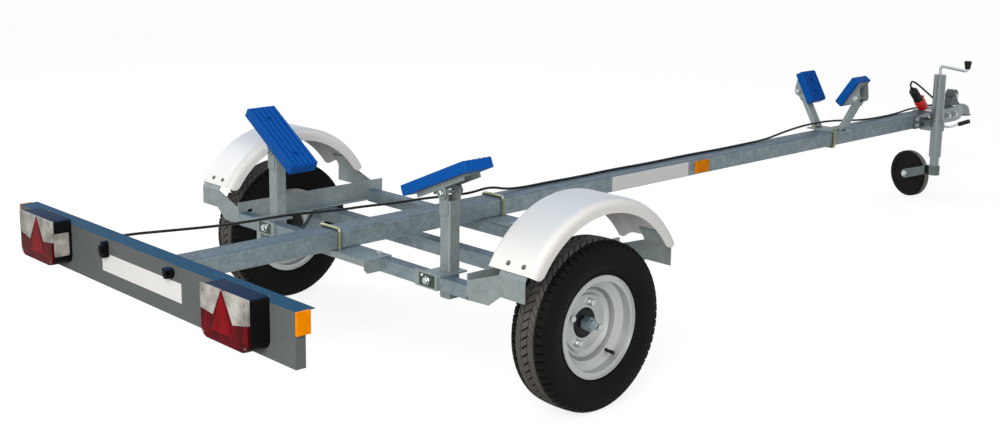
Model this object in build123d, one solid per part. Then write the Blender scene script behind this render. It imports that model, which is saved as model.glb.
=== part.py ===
from build123d import *
import math
import os

# Driving dimensions in millimetres. The trailer is modelled level, with its wheel axis over Y = 0,
# X to its right, Y forward to the coupling and Z up from the bottom of the tyres. The park() function
# at the end then lowers the nose until the jockey wheel stands on the same floor as the tyres.

# Road wheels
tyre_diameter = 470
tyre_width = 125
tyre_wall = 9
tyre_shoulder = 20
wheel_stand_off = 156.5
rim_diameter = 254
rim_flange = 14
rim_lip = 3
rim_width = 92
rim_wall = 3
rim_seat_width = 22
rim_well_depth = 23
rim_well_slope = 12
disc_wall = 4
disc_inset = 6
disc_dish = 9
disc_slope = 10
disc_clearance = 1
bolt_circle = 115
bolt_count = 4
bolt_hole = 13
bolt_turn = 67
hub_flange_radius = 72
hub_flange_thickness = 9
hub_barrel_radius = 41
hub_outboard = -2
hub_inboard = 48
stub_radius = 14
bearing_clearance = 0.3
stub_nut_size = 36
stub_nut_height = 22
stub_end = 6

# Main beam, a rectangular tube from the light board to the coupling
beam_width = 80
beam_height = 56
beam_wall = 3
beam_bottom = 359
beam_rear = -921
beam_front = 2985

# Cross tubes, one in front of the axle and one behind it
cross_size = 40
cross_wall = 3
cross_spacing = 528
cross_half_length = 541
saddle_thickness = 3
saddle_half_length = 182
saddle_reach = 60
saddle_flange = 18
saddle_tab = 39
saddle_chamfer = 12

# Side rails that tie the cross tubes together and carry the axle
rail_height = 62
rail_drop = 11
rail_front_reach = 24
rail_thickness = 5
rail_flange = 22
rail_slot_length = 22
rail_slot_width = 12
rail_slot_inset = 44

# Rubber suspension axle
axle_size = 45
axle_wall = 4
axle_forward = 62
axle_overhang = 16
arm_thickness = 20
arm_width = 44

# U-bolts round the beam
u_bolt_rod = 10
u_bolt_offset = 40
u_bolt_bend = 9
u_bolt_tail = 17
nut_width = 17
nut_height = 8

# Mudguards and their brackets
guard_radius = 324
guard_center_height = 263
guard_end_height = 426
guard_inboard = 97.5
guard_width = 170
guard_thickness = 4
guard_skirt = 40
guard_round = 22
guard_corner = 24
bracket_thickness = 4
bracket_inboard = 42.5
bracket_outboard = 49.5
bracket_bottom = 354
bracket_bend_inboard = 36.5
bracket_crook_reach = 76
bracket_crook_bottom = 321
bracket_root_bottom = 318
bracket_root_top = 372
bracket_foot = 34
bracket_lap = 6

# Rear bunk posts with their clamps
post_size = 40
post_wall = 3
post_inset = 138
post_bottom = 284
post_top = 556
post_corner = 5
post_plate_half_width = 36
post_plate_thickness = 5
post_plate_depth = 96
post_plate_clearance = 0.3
post_clamp_inside = 69
post_clamp_outside = 21
ear_height = 40

# Hull pads, two at the rear and two at the bow
pad_pivot_height = 577
pad_face_height = 57
pad_thickness = 30
pad_width = 100
rear_pad_length = 280
rear_pad_tilt = {"left": 33, "right": 23}
pad_rib_count = 6
pad_rib_height = 4
pad_rib_width = 9
pad_corner = 4
pad_rib_inset = 4
pad_hole_radius = 9
pad_hole_depth = 19
pad_hole_share = {"rear": 0.3, "bow": 0.2}
channel_width = 62
channel_wall = 3
channel_flange = 16
channel_share = {"rear": 0.72, "bow": 0.9}
ear_radius = 17
ear_thickness = 4
bow_pad_width = 90
pivot_bolt = 10
pivot_clearance = 0.2

# Bow support, a vee of two arms on a saddle plate across the beam
bow_y = 2176
bow_base_reach = 76
bow_foot_x = 53
bow_base_width = 80
bow_plate_thickness = 5
bow_arm_depth = 40
bow_arm_thickness = 20
bow_arm_wall = 3
bow_arm_short = 14
bow_bolt_inset = 10
bow_bolt_rise = 18
bow_ear_length = 36
bow_pivot_half_spread = 130
bow_pivot_height = 559
bow_pad_length = 128
bow_pad_tilt = {"left": 62, "right": 55}

# Light board of folded sheet across the tail
board_rear = -950
board_half_length = 697
board_bottom = 322
board_height = 135
board_sheet = 2
board_top_flange = 55
board_return = 28

# Lamps, reflectors and plate lamps
lamp_width = 198
lamp_height = 128
lamp_depth = 62
lamp_center = 487
lamp_bottom = 343
lamp_corner = 16
lamp_shell = 3
lens_depth = 22
plate_lamp_depth = 26
plate_lamp_drop = 6
# Each plate lamp: middle across the board, width and height
plate_lamp_table = [
    {"x": -168, "width": 28, "height": 52},
    {"x": 163, "width": 46, "height": 32},
]
end_reflector_length = 38
end_reflector_height = 55
reflector_thickness = 7
beam_reflector_y = 1319
beam_reflector_length = 70
beam_reflector_height = 42

# Jockey wheel jack on the right side of the beam
jack_x = 106
jack_y = 2809
jack_tube_diameter = 48
jack_tube_wall = 2.5
jack_tube_bottom = 241
jack_tube_top = 586
jack_cap = 5
jack_mouth = 22
leg_diameter = 36
leg_clearance = 0.3
leg_wall = 3
leg_bottom = 165
leg_engaged = 180
jockey_diameter = 196
jockey_width = 40
jockey_trail = 134
jockey_height = 146
jockey_turn = -105
fork_height = 182
fork_bar_height = 38
fork_bar_thickness = 5
fork_bore_clearance = 0.3
fork_collar_wall = 5
fork_bridge = 8
fork_neck = 24
fork_pin_end = 6
jockey_side_gap = 5
jockey_pin = 12
jockey_hub_radius = 20
jockey_hub_proud = 2
jockey_tread_depth = 26
jockey_dish = 4
jockey_round = 9
crank_rod = 12
crank_stub_top = 628
crank_reach = 118
crank_fall = 12
crank_rise = 18
crank_bend = 10
crank_grip_length = 33
crank_grip_radius = 15
crank_grip_taper = 10
crank_grip_bore_depth = 20
crank_clearance = 0.3
clamp_height = 44
clamp_center_height = 375
clamp_wall = 6
clamp_plate_rear = 74
clamp_plate_front = 44
clamp_web_half = 26
lever_rod = 10
lever_straight = 26
lever_reach = 106
lever_rise = 34
lever_bend = 20
lever_knob_length = 42
lever_knob_radius = 9

# Ball coupling for a 50 mm ball
ball_diameter = 50
ball_y = 3203
ball_height = 381
socket_wall = 4
socket_clearance = 0.5
socket_floor = 22
socket_roof = 2
coupling_rear = 2870
coupling_sheet = 4
coupling_taper_start = 25
coupling_nose_margin = 5
coupling_edge = 6
handle_width = 34
handle_lobe_radius = 26
handle_lobe_back = 92
handle_lobe_height = 44
# Outline of the handle's web, as distance behind the ball and height over the head
handle_web = [
    {"back": 150, "height": 0},
    {"back": 116, "height": 52},
    {"back": 70, "height": 58},
    {"back": 22, "height": 8},
    {"back": 10, "height": 0},
]

# Lamp cable and its plug
cable_diameter = 8
plug_tip = (0, 2877, 433.5)
plug_slope = 42
plug_body_length = 84
plug_body_radius = 19
plug_cap_length = 54
plug_cap_radius = 26
plug_chamfer = 2
plug_boss_wall = 3
plug_boss_length = 14
cable_exit = 9
gland_radius = 9
gland_length = 14
gland_x = -250
gland_height = 434

# Route of the cable's middle line from the gland on the light board to the back of the plug
cable_points = [
    (-250, -934, 434),
    (-250, -850, 434),
    (-220, -725, 431),
    (-189, -575, 427),
    (-170, -470, 429),
    (-148, -350, 434),
    (-121, -210, 428),
    (-103, -110, 430),
    (-84, -5, 427),
    (-66, 90, 431),
    (-46, 190, 428),
    (-32, 262, 430),
    (-26, 308, 437.5),
    (-22, 346, 437),
    (-18, 400, 424),
    (-17, 475, 419.5),
    (-20, 590, 419.6),
    (-14, 720, 419.5),
    (-22, 900, 419.5),
    (-13, 1100, 419.5),
    (-21, 1300, 419.5),
    (-14, 1480, 419.5),
    (-18, 1640, 419.5),
    (-16, 1770, 421),
    (-19, 1880, 434),
    (-20, 2000, 445),
    (-18, 2110, 448),
    (-17, 2200, 446),
    (-21, 2310, 436),
    (-18, 2420, 425),
    (-22, 2530, 419.8),
    (-21, 2640, 419.8),
    (-30, 2740, 420.5),
    (-37, 2812, 424.6),
    (-39, 2872, 424.8),
    (-37, 2930, 424.6),
    (-38.3, 2972, 424.5),
    (-38.3, 3000, 424.5),
    (-28.3, 3013.8, 424.5),
    (-12.2, 3019, 424.5),
    (4, 3013.8, 426),
    (14, 3000, 431),
    (15, 2972, 443),
    (14, 2929, 470),
    (11, 2882, 498),
    (7, 2838, 525),
    (3, 2806, 543.5),
    (1, 2789.5, 551),
    (0, 2777, 553.8),
    (0, 2769.1, 549.5),
    (0, 2765.3, 541.3),
]

SIDES = {"left": -1, "right": 1}
wheel_radius = tyre_diameter / 2
half_track = cross_half_length + wheel_stand_off
beam_top = beam_bottom + beam_height
cross_top = beam_bottom - saddle_thickness
cross_bottom = cross_top - cross_size
cross_offset = cross_spacing / 2
rail_bottom = cross_bottom + rail_drop
axle_height = rail_bottom - axle_size / 2
u_bolt_half = beam_width / 2 + u_bolt_rod / 2
guard_end_angle = math.degrees(math.asin((guard_end_height - guard_center_height) / guard_radius))
post_y = -(cross_offset - cross_size / 2) + post_size / 2
leg_radius = leg_diameter / 2
jockey_y = jack_y - jockey_trail
post_x = cross_half_length - post_inset


def rounded_tube(width, height, wall, length, corner):
    """A rectangular tube with rounded corners along +Y from Y = 0, centred on the Y axis."""
    outer = RectangleRounded(width, height, corner)
    inner = RectangleRounded(width - 2 * wall, height - 2 * wall, max(corner - wall, 0.5))
    return extrude(Plane.XZ * (outer - inner), -length)


def block(x_range, y_range, z_range):
    """A box between two values on each axis."""
    size = [abs(ends[1] - ends[0]) for ends in (x_range, y_range, z_range)]
    middle = [(ends[1] + ends[0]) / 2 for ends in (x_range, y_range, z_range)]
    return Pos(*middle) * Box(*size)


def rod(start, end, radius):
    """A round rod between two points."""
    line = Line(start, end)
    return extrude(Plane(origin=start, z_dir=line % 0) * Circle(radius), line.length)


def bent_rod(points, bend_radius, radius):
    """A round rod along straight runs with rounded corners."""
    path = FilletPolyline(*points, radius=bend_radius)
    return sweep(Plane(origin=path @ 0, z_dir=path % 0) * Circle(radius), path=path)


def plate_of(corners, thickness):
    """A flat plate upwards from z = 0 with its corners given as (x, y)."""
    return extrude(make_face(Polyline(*corners, close=True)), thickness, dir=(0, 0, 1))


def group(shapes):
    """Separate solids as one sub-part."""
    return Compound([solid for shape in shapes for solid in shape.solids()])


def upright_plate(corners, thickness):
    """A flat plate rearwards from y = 0 with its corners given as (x, z)."""
    return extrude(Plane.XZ * make_face(Polyline(*corners, close=True)), thickness, dir=(0, -1, 0))


def ring_x(outer_radius, inner_radius, x_range, center):
    """A plain ring or disc about a line along X through center, given as (y, z)."""
    face = Circle(outer_radius)
    if inner_radius:
        face -= Circle(inner_radius)
    length = x_range[1] - x_range[0]
    return extrude(Plane(origin=(x_range[0], *center), z_dir=(1, 0, 0)) * face, length)


def hexagon_nut(center, axis, width, height):
    """A hexagonal nut whose first face lies on center."""
    face = RegularPolygon(width / 2, 6, major_radius=False)
    return extrude(Plane(origin=center, z_dir=axis) * face, height)


def tyre(side):
    """Tyre ring with a flat tread, round shoulders and bulging walls, open towards the rim."""
    half = tyre_width / 2
    bead_x = rim_width / 2 - rim_wall
    bead_r = rim_diameter / 2
    bulge_r = (bead_r + wheel_radius) / 2
    wall_x = half - 4
    tread_x = wall_x - tyre_shoulder
    tread_r = wheel_radius - 2
    inner_x = half - tyre_wall
    inner_r = wheel_radius - tyre_wall - 3
    outline = [
        Line((0, inner_r), (0, wheel_radius)),
        ThreePointArc((0, wheel_radius), (tread_x / 2, wheel_radius - 0.5), (tread_x, tread_r)),
        RadiusArc((tread_x, tread_r), (wall_x, tread_r - tyre_shoulder), tyre_shoulder),
        ThreePointArc((wall_x, tread_r - tyre_shoulder), (half, bulge_r), (bead_x, bead_r + rim_flange)),
        Line((bead_x, bead_r + rim_flange), (bead_x, bead_r)),
        Line((bead_x, bead_r), (bead_x - tyre_wall, bead_r)),
        ThreePointArc((bead_x - tyre_wall, bead_r), (inner_x, bulge_r), (tread_x, inner_r)),
        Line((tread_x, inner_r), (0, inner_r)),
    ]
    section = make_face(outline)
    section += mirror(section, about=Plane.YZ)
    return Pos(SIDES[side] * half_track, 0, wheel_radius) * revolve(section, Axis.X)


def rim(side):
    """Pressed steel rim: flanges, bead seats and a drop centre, with a dished disc and bolt holes."""
    half = rim_width / 2
    seat = rim_diameter / 2
    lip = seat + rim_flange
    well = seat - rim_well_depth
    seat_end = half - rim_seat_width
    well_end = seat_end - rim_well_slope
    outline = [
        (0, well),
        (well_end, well),
        (seat_end, seat),
        (half - rim_wall, seat),
        (half - rim_wall, lip),
        (half + rim_lip, lip),
        (half + rim_lip, lip - rim_wall),
        (half, lip - rim_wall),
        (half, seat - rim_wall),
        (seat_end - rim_wall / 2, seat - rim_wall),
        (well_end - rim_wall / 2, well - rim_wall),
        (0, well - rim_wall),
    ]
    section = make_face(Polyline(*outline, close=True))
    section += mirror(section, about=Plane.YZ)
    barrel = revolve(section, Axis.X)
    face = -disc_inset
    bore = hub_barrel_radius + disc_clearance
    flat = hub_flange_radius + disc_dish / 2
    edge = well - rim_wall
    disc_line = [
        (face, bore),
        (face, flat),
        (face + disc_dish, flat + disc_slope),
        (face + disc_dish, edge - disc_slope),
        (face + disc_dish - disc_wall - 1, edge),
        (face + disc_dish - 2 * disc_wall - 1, edge),
        (face + disc_dish - disc_wall, edge - disc_slope - disc_wall / 2),
        (face + disc_dish - disc_wall, flat + disc_slope + disc_wall / 2),
        (face - disc_wall, flat + disc_wall / 2),
        (face - disc_wall, bore),
    ]
    disc = revolve(make_face(Polyline(*disc_line, close=True)), Axis.X)
    hole = Cylinder(bolt_hole / 2, rim_width, rotation=(0, 90, 0))
    holes = [
        Rot(X=360 / bolt_count * turn + bolt_turn) * Pos(0, bolt_circle / 2, 0) * hole
        for turn in range(bolt_count)
    ]
    wheel = barrel + disc - holes
    if side == "left":
        wheel = mirror(wheel, about=Plane.YZ)
    return Pos(SIDES[side] * half_track, 0, wheel_radius) * wheel


def hub(side):
    """Hub with its flange behind the disc and its barrel through it, bored for the stub axle."""
    face = -disc_inset - 4
    profile = [
        (-hub_inboard, stub_radius + bearing_clearance),
        (-hub_inboard, hub_barrel_radius - 3),
        (-hub_inboard + 3, hub_barrel_radius),
        (face - hub_flange_thickness, hub_barrel_radius),
        (face - hub_flange_thickness, hub_flange_radius),
        (face, hub_flange_radius),
        (face, hub_barrel_radius),
        (hub_outboard - 4, hub_barrel_radius),
        (hub_outboard, hub_barrel_radius - 6),
        (hub_outboard, stub_radius + bearing_clearance),
    ]
    body = revolve(make_face(Polyline(*profile, close=True)), Axis.X)
    if side == "left":
        body = mirror(body, about=Plane.YZ)
    return Pos(SIDES[side] * half_track, 0, wheel_radius) * body


def main_beam():
    return Pos(0, beam_rear, beam_bottom + beam_height / 2) * rounded_tube(
        beam_width, beam_height, beam_wall, beam_front - beam_rear, 6
    )


def cross_tube(end):
    """Square tube across the trailer under the beam, end is -1 behind the axle and 1 in front."""
    length = 2 * (cross_half_length - rail_thickness)
    tube = rounded_tube(cross_size, cross_size, cross_wall, length, 5)
    center = cross_bottom + cross_size / 2
    return Pos(-length / 2, end * cross_offset, center) * Rot(Z=-90) * tube


def saddles():
    """A saddle plate on each cross tube, its wing folded down along the edge and at both ends."""
    made = []
    for end in (-1, 1):
        inner = end * (cross_offset - cross_size / 2)
        outer = end * (cross_offset + cross_size / 2)
        tip = outer + end * saddle_reach
        x_range = (-saddle_half_length, saddle_half_length)
        saddle_top = cross_top + saddle_thickness
        plate = block(x_range, (inner, tip), (cross_top, saddle_top))
        plate += block(x_range, (tip, tip - end * saddle_thickness), (saddle_top - saddle_flange, saddle_top))
        low = saddle_top - saddle_tab
        corners = [
            (outer, low),
            (tip - end * saddle_chamfer, low),
            (tip, low + saddle_chamfer),
            (tip, saddle_top),
            (outer, saddle_top),
        ]
        tab = Plane.YZ * make_face(Polyline(*corners, close=True))
        tab = extrude(tab, saddle_thickness, dir=(1, 0, 0))
        plate += Pos(-saddle_half_length, 0, 0) * tab
        plate += Pos(saddle_half_length - saddle_thickness, 0, 0) * tab
        holes = [
            Pos(x, outer + end * u_bolt_offset, cross_top) * Cylinder(u_bolt_rod / 2 + pivot_clearance, 20)
            for x in (-u_bolt_half, u_bolt_half)
        ]
        made.append(plate - holes)
    return group(made)


def beam_u_bolt(y, plate_bottom):
    """U-bolt over the beam at y, with a nut under the plate on each leg."""
    top = beam_top + u_bolt_rod / 2
    tail = plate_bottom - u_bolt_tail
    legs = [(-u_bolt_half, y, tail), (-u_bolt_half, y, top), (u_bolt_half, y, top), (u_bolt_half, y, tail)]
    bolt = bent_rod(legs, u_bolt_bend, u_bolt_rod / 2)
    for x in (-u_bolt_half, u_bolt_half):
        bolt += hexagon_nut((x, y, plate_bottom), (0, 0, -1), nut_width, nut_height)
    return bolt


def u_bolts():
    reach = cross_offset + cross_size / 2 + u_bolt_offset
    made = [beam_u_bolt(end * reach, cross_top) for end in (-1, 1)]
    return group(made)


def bow_u_bolt():
    """The bow support's U-bolt comes up from under the beam and is nutted above the saddle plate."""
    seat = beam_top + bow_plate_thickness
    top = seat + bow_bolt_rise
    low = beam_bottom - u_bolt_rod / 2
    y = bow_y - bow_base_width / 2 + bow_bolt_inset
    path = [(-u_bolt_half, y, top), (-u_bolt_half, y, low), (u_bolt_half, y, low), (u_bolt_half, y, top)]
    bolt = bent_rod(path, u_bolt_bend, u_bolt_rod / 2)
    for x in (-u_bolt_half, u_bolt_half):
        bolt += hexagon_nut((x, y, seat), (0, 0, 1), nut_width, nut_height)
    return bolt


def side_rail(side):
    """Angle rail past both cross tubes, its upright leg outside and its flange between the tubes."""
    hand = SIDES[side]
    reach = cross_offset + cross_size / 2
    outside = hand * cross_half_length
    inside = hand * (cross_half_length - rail_thickness)
    y_range = (-reach, reach + rail_front_reach)
    rail = block((inside, outside), y_range, (rail_bottom, rail_bottom + rail_height))
    flange_z = (rail_bottom, rail_bottom + rail_thickness)
    run = reach - cross_size
    rail += block((inside, inside - hand * rail_flange), (-run, run), flange_z)
    slot = Pos(outside, -reach + rail_slot_inset, rail_bottom + rail_height / 2) * Rot(Y=90) * Rot(Z=90)
    rail -= slot * extrude(SlotOverall(rail_slot_length, rail_slot_width), rail_flange, both=True)
    return rail


def axle_tube():
    length = 2 * (cross_half_length + axle_overhang)
    tube = rounded_tube(axle_size, axle_size, axle_wall, length, 6)
    return Pos(-length / 2, axle_forward, axle_height) * Rot(Z=-90) * tube


def axle_arms():
    """Trailing arm each side, from the axle tube back to the stub axle with its castle nut."""
    made = []
    for hand in SIDES.values():
        start = hand * (cross_half_length + axle_overhang)
        rise = axle_height - wheel_radius
        length = math.hypot(axle_forward, rise)
        slope = math.degrees(math.atan2(rise, axle_forward))
        plane = Plane(
            origin=(start, axle_forward / 2, wheel_radius + rise / 2),
            x_dir=(0, math.cos(math.radians(slope)), math.sin(math.radians(slope))),
            z_dir=(hand, 0, 0),
        )
        arm = extrude(plane * SlotCenterToCenter(length, arm_width), arm_thickness)
        tip = hand * (half_track + hub_outboard + stub_nut_height + stub_end)
        arm_face = start + hand * arm_thickness
        arm += rod((arm_face - hand, 0, wheel_radius), (tip, 0, wheel_radius), stub_radius)
        collar_end = hand * (half_track - hub_inboard - 2)
        arm += rod((arm_face - hand, 0, wheel_radius), (collar_end, 0, wheel_radius), stub_radius + 8)
        nut_face = hand * (half_track + hub_outboard + bearing_clearance)
        arm += hexagon_nut((nut_face, 0, wheel_radius), (hand, 0, 0), stub_nut_size, stub_nut_height)
        made.append(arm)
    return group(made)


def mudguard(side):
    """Arched strip over the wheel with a rounded edge and a skirt on both sides, its corners round."""
    width = guard_width
    outer = Pos(0, guard_radius - guard_skirt / 2) * Rectangle(width, guard_skirt)
    outer = fillet(outer.vertices().group_by(Axis.Y)[-1], guard_round)
    inner_height = guard_skirt
    inner = Rectangle(width - 2 * guard_thickness, inner_height)
    inner = Pos(0, guard_radius - guard_thickness - inner_height / 2) * inner
    inner = fillet(inner.vertices().group_by(Axis.Y)[-1], guard_round - guard_thickness)
    section = Plane.XZ * (outer - inner)
    span = 180 - 2 * guard_end_angle
    arch = revolve(section, Axis.X, span).rotate(Axis.X, -span / 2)
    tips = [edge for edge in arch.edges().filter_by(Axis.X) if edge.length < 2 * guard_thickness]
    arch = fillet(tips, guard_corner)
    middle = half_track - guard_inboard + guard_width / 2
    return Pos(SIDES[side] * middle, 0, guard_center_height) * arch


def guard_bracket(side, end):
    """Bent plate from the side rail out to one end of the mudguard, with a tongue under its crown."""
    hand = SIDES[side]
    outer_r = guard_radius - guard_thickness
    inner_r = outer_r - bracket_thickness
    plate_y = cross_offset + cross_size / 2
    bend = math.degrees(math.acos(plate_y / outer_r))
    top = guard_center_height + outer_r * math.sin(math.radians(bend))
    root = cross_half_length
    bracket_inner = half_track - bracket_inboard
    bracket_outer = half_track + bracket_outboard
    corners = [
        (root, bracket_root_bottom),
        (root + bracket_crook_reach, bracket_crook_bottom),
        (half_track - bracket_bend_inboard, bracket_bottom),
        (bracket_outer, bracket_bottom),
        (bracket_outer, top),
        (bracket_inner, top),
        (root, bracket_root_top),
    ]
    outline = [(hand * x, z) for x, z in corners]
    front_face = plate_y if end > 0 else bracket_thickness - plate_y
    plate = Pos(0, front_face, 0) * upright_plate(outline, bracket_thickness)
    foot = block(
        (hand * root, hand * (root + bracket_thickness)),
        (end * plate_y, end * (plate_y - bracket_foot)),
        (rail_bottom, bracket_root_top),
    )
    tongue_width = bracket_outer - bracket_inner
    tongue = Plane.XZ * (Pos(0, (outer_r + inner_r) / 2) * Rectangle(tongue_width, bracket_thickness))
    span = guard_end_angle + bracket_lap - bend
    strip = revolve(tongue, Axis.X, span)
    strip = strip.rotate(Axis.X, 90 - guard_end_angle - bracket_lap)
    if end > 0:
        strip = mirror(strip, about=Plane.XZ)
    strip = Pos(hand * (bracket_outer + bracket_inner) / 2, 0, guard_center_height) * strip
    return plate + foot + strip


def guard_brackets(side):
    return group([guard_bracket(side, end) for end in (-1, 1)])


def bunk_post(side):
    """Square tube post against the front of the rear cross tube, with two rounded ears for the pad."""
    x = SIDES[side] * post_x
    height = post_top - post_bottom
    tube = rounded_tube(post_size, post_size, post_wall, height, post_corner)
    post = Pos(x, post_y, post_bottom) * Rot(X=90) * tube
    for face in (-1, 1):
        ear_y = post_y + face * (post_size / 2 + ear_thickness / 2)
        low = post_top - ear_height
        rise = pad_pivot_height - low
        ear = Pos(0, 0, -rise / 2) * Box(2 * ear_radius, ear_thickness, rise)
        ear += Cylinder(ear_radius, ear_thickness, rotation=(90, 0, 0))
        ear -= Cylinder(pivot_bolt / 2 + pivot_clearance, 2 * ear_thickness, rotation=(90, 0, 0))
        post += Pos(x, ear_y, pad_pivot_height) * ear
    return post


def post_clamp(side):
    """Plate over the rear cross tube with a hole for the post, and a plate down behind the tube."""
    hand = SIDES[side]
    x = hand * post_x
    rear = -(cross_offset + cross_size / 2)
    back_rear = rear - post_plate_thickness
    cap_z = (cross_top, cross_top + post_plate_thickness)
    back = block(
        (x - hand * post_clamp_inside, x + hand * post_clamp_outside),
        (back_rear, rear),
        (cross_bottom, cross_top + post_plate_thickness),
    )
    cap = block(
        (x - post_plate_half_width, x + post_plate_half_width),
        (back_rear, back_rear + post_plate_depth),
        cap_z,
    )
    hole_half = post_size / 2 + post_plate_clearance
    cap -= block(
        (x - hole_half, x + hole_half),
        (post_y - hole_half, post_y + hole_half),
        (cap_z[0] - 1, cap_z[1] + 1),
    )
    return back + cap


def pad_frame(side, end):
    """Plane of one pad at its pivot: x along the pad, y forward and z out of its face."""
    hand = SIDES[side]
    if end == "rear":
        origin = (hand * post_x, post_y, pad_pivot_height)
        tilt = hand * -rear_pad_tilt[side]
    else:
        origin = (hand * bow_pivot_half_spread, bow_y, bow_pivot_height)
        tilt = hand * -bow_pad_tilt[side]
    return Pos(*origin) * Rot(Y=tilt)


def pad_size(end):
    """Length and width of a pad."""
    if end == "rear":
        return rear_pad_length, pad_width
    return bow_pad_length, bow_pad_width


def hull_pad(side, end):
    """Moulded pad with lengthwise ribs on its face and two sunk bolt holes."""
    length, width = pad_size(end)
    body_height = pad_thickness - pad_rib_height
    base = pad_face_height - pad_thickness
    body = Pos(0, 0, base + body_height / 2) * Box(length, width, body_height)
    body = fillet(body.edges().filter_by(Axis.Z), pad_corner)
    pitch = (width - pad_rib_width) / (pad_rib_count - 1)
    rib = Box(length - 2 * pad_rib_inset, pad_rib_width, pad_rib_height)
    for index in range(pad_rib_count):
        y = -width / 2 + pad_rib_width / 2 + index * pitch
        body += Pos(0, y, base + body_height + pad_rib_height / 2) * rib
    spot = length * pad_hole_share[end]
    for x in (-spot, spot):
        body -= Pos(x, 0, pad_face_height) * Cylinder(pad_hole_radius, 2 * pad_hole_depth)
    return pad_frame(side, end) * body


def pad_channel(side, end):
    """Folded channel under the pad, with two ears or gussets down to the pivot bolt."""
    length, _ = pad_size(end)
    run = length * channel_share[end]
    top = pad_face_height - pad_thickness
    channel = Pos(0, 0, top - channel_wall / 2) * Box(run, channel_width, channel_wall)
    gusset = [(-run / 2, top), (run / 2, top), (ear_radius, -ear_radius / 2), (-ear_radius, -ear_radius / 2)]
    for face in (-1, 1):
        y = face * (channel_width - channel_wall) / 2
        channel += Pos(0, y, 0) * Cylinder(ear_radius, channel_wall, rotation=(90, 0, 0))
        if end == "bow":
            channel += Pos(0, y + channel_wall / 2, 0) * upright_plate(gusset, channel_wall)
        else:
            channel += Pos(0, y, top - channel_flange / 2) * Box(run, channel_wall, channel_flange)
            channel += Pos(0, y, top / 2) * Box(2 * ear_radius, channel_wall, top)
    bolt = Cylinder(pivot_bolt / 2, channel_width + 2 * nut_height, rotation=(90, 0, 0))
    head = hexagon_nut((0, -channel_width / 2 - nut_height, 0), (0, 1, 0), nut_width, nut_height)
    nut = hexagon_nut((0, channel_width / 2, 0), (0, 1, 0), nut_width, nut_height)
    return pad_frame(side, end) * (channel + bolt + head + nut)


def bow_support():
    """Saddle plate across the beam with two splayed tube arms that end in ears."""
    y_range = (bow_y - bow_base_width / 2, bow_y + bow_base_width / 2)
    base_top = beam_top + bow_plate_thickness
    support = block((-bow_base_reach, bow_base_reach), y_range, (beam_top, base_top))
    for hand in SIDES.values():
        foot = Vector(hand * bow_foot_x, bow_y, base_top - 1)
        head = Vector(hand * bow_pivot_half_spread, bow_y, bow_pivot_height)
        along = head - foot
        length = along.length - bow_arm_short
        arm = rounded_tube(bow_arm_thickness, bow_arm_depth, bow_arm_wall, length, 4)
        lean = math.degrees(math.atan2(along.X, along.Z))
        support += Pos(*foot) * Rot(Y=lean) * Rot(X=90) * arm
        for face in (-1, 1):
            ear = Cylinder(bow_arm_thickness / 2 + 3, ear_thickness, rotation=(90, 0, 0))
            strap = Box(bow_arm_thickness, ear_thickness, bow_ear_length)
            ear += Rot(Y=lean) * Pos(0, 0, -bow_ear_length / 2) * strap
            ear -= Cylinder(pivot_bolt / 2 + pivot_clearance, 2 * ear_thickness, rotation=(90, 0, 0))
            y = bow_y + face * (bow_arm_depth + ear_thickness) / 2
            support += Pos(head.X, y, head.Z) * ear
    for x in (-u_bolt_half, u_bolt_half):
        y = bow_y - bow_base_width / 2 + bow_bolt_inset
        support -= Pos(x, y, beam_top) * Cylinder(u_bolt_rod / 2 + pivot_clearance, 4 * bow_plate_thickness)
    return support


def light_board():
    """Folded sheet: face to the rear, a deep flange on top and returns below and at the ends."""
    top = board_bottom + board_height
    front = board_rear + board_return
    across = (-board_half_length, board_half_length)
    board = block(across, (board_rear, board_rear + board_sheet), (board_bottom, top))
    board += block(across, (board_rear, board_rear + board_top_flange), (top - board_sheet, top))
    board += block(across, (board_rear, front), (board_bottom, board_bottom + board_sheet))
    for hand in SIDES.values():
        x_range = (hand * board_half_length, hand * (board_half_length - board_sheet))
        board += block(x_range, (board_rear, front), (board_bottom, top))
    return board


def tail_lamp(side):
    """Lamp box with rounded lower corners and a lens set into its rear face."""
    x = SIDES[side] * lamp_center
    middle = lamp_bottom + lamp_height / 2
    outline = Rectangle(lamp_width, lamp_height)
    outline = fillet(outline.vertices(), lamp_corner)
    return Pos(x, board_rear, middle) * extrude(Plane.XZ * outline, lamp_depth)


def plate_lamps():
    """Lamps over the number plate's place, hung under the top edge of the light board."""
    top = board_bottom + board_height - plate_lamp_drop
    made = []
    for row in plate_lamp_table:
        x_range = (row["x"] - row["width"] / 2, row["x"] + row["width"] / 2)
        y_range = (board_rear - plate_lamp_depth, board_rear)
        made.append(block(x_range, y_range, (top - row["height"], top)))
    return group(made)


def reflectors():
    """Amber reflectors on the ends of the light board and on both sides of the beam."""
    made = []
    top = board_bottom + board_height
    middle = beam_bottom + beam_height / 2
    for hand in SIDES.values():
        x_range = (hand * board_half_length, hand * (board_half_length + reflector_thickness))
        y_range = (board_rear, board_rear + end_reflector_length)
        made.append(block(x_range, y_range, (top - end_reflector_height, top)))
        x_range = (hand * beam_width / 2, hand * (beam_width / 2 + reflector_thickness))
        half = beam_reflector_length / 2
        y_range = (beam_reflector_y - half, beam_reflector_y + half)
        half = beam_reflector_height / 2
        made.append(block(x_range, y_range, (middle - half, middle + half)))
    return group(made)


def upright_tube(outer_radius, inner_radius, z_range):
    """A ring or rod about the jack's own line."""
    face = Circle(outer_radius)
    if inner_radius:
        face -= Circle(inner_radius)
    return extrude(Pos(jack_x, jack_y, z_range[0]) * face, z_range[1] - z_range[0])


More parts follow.
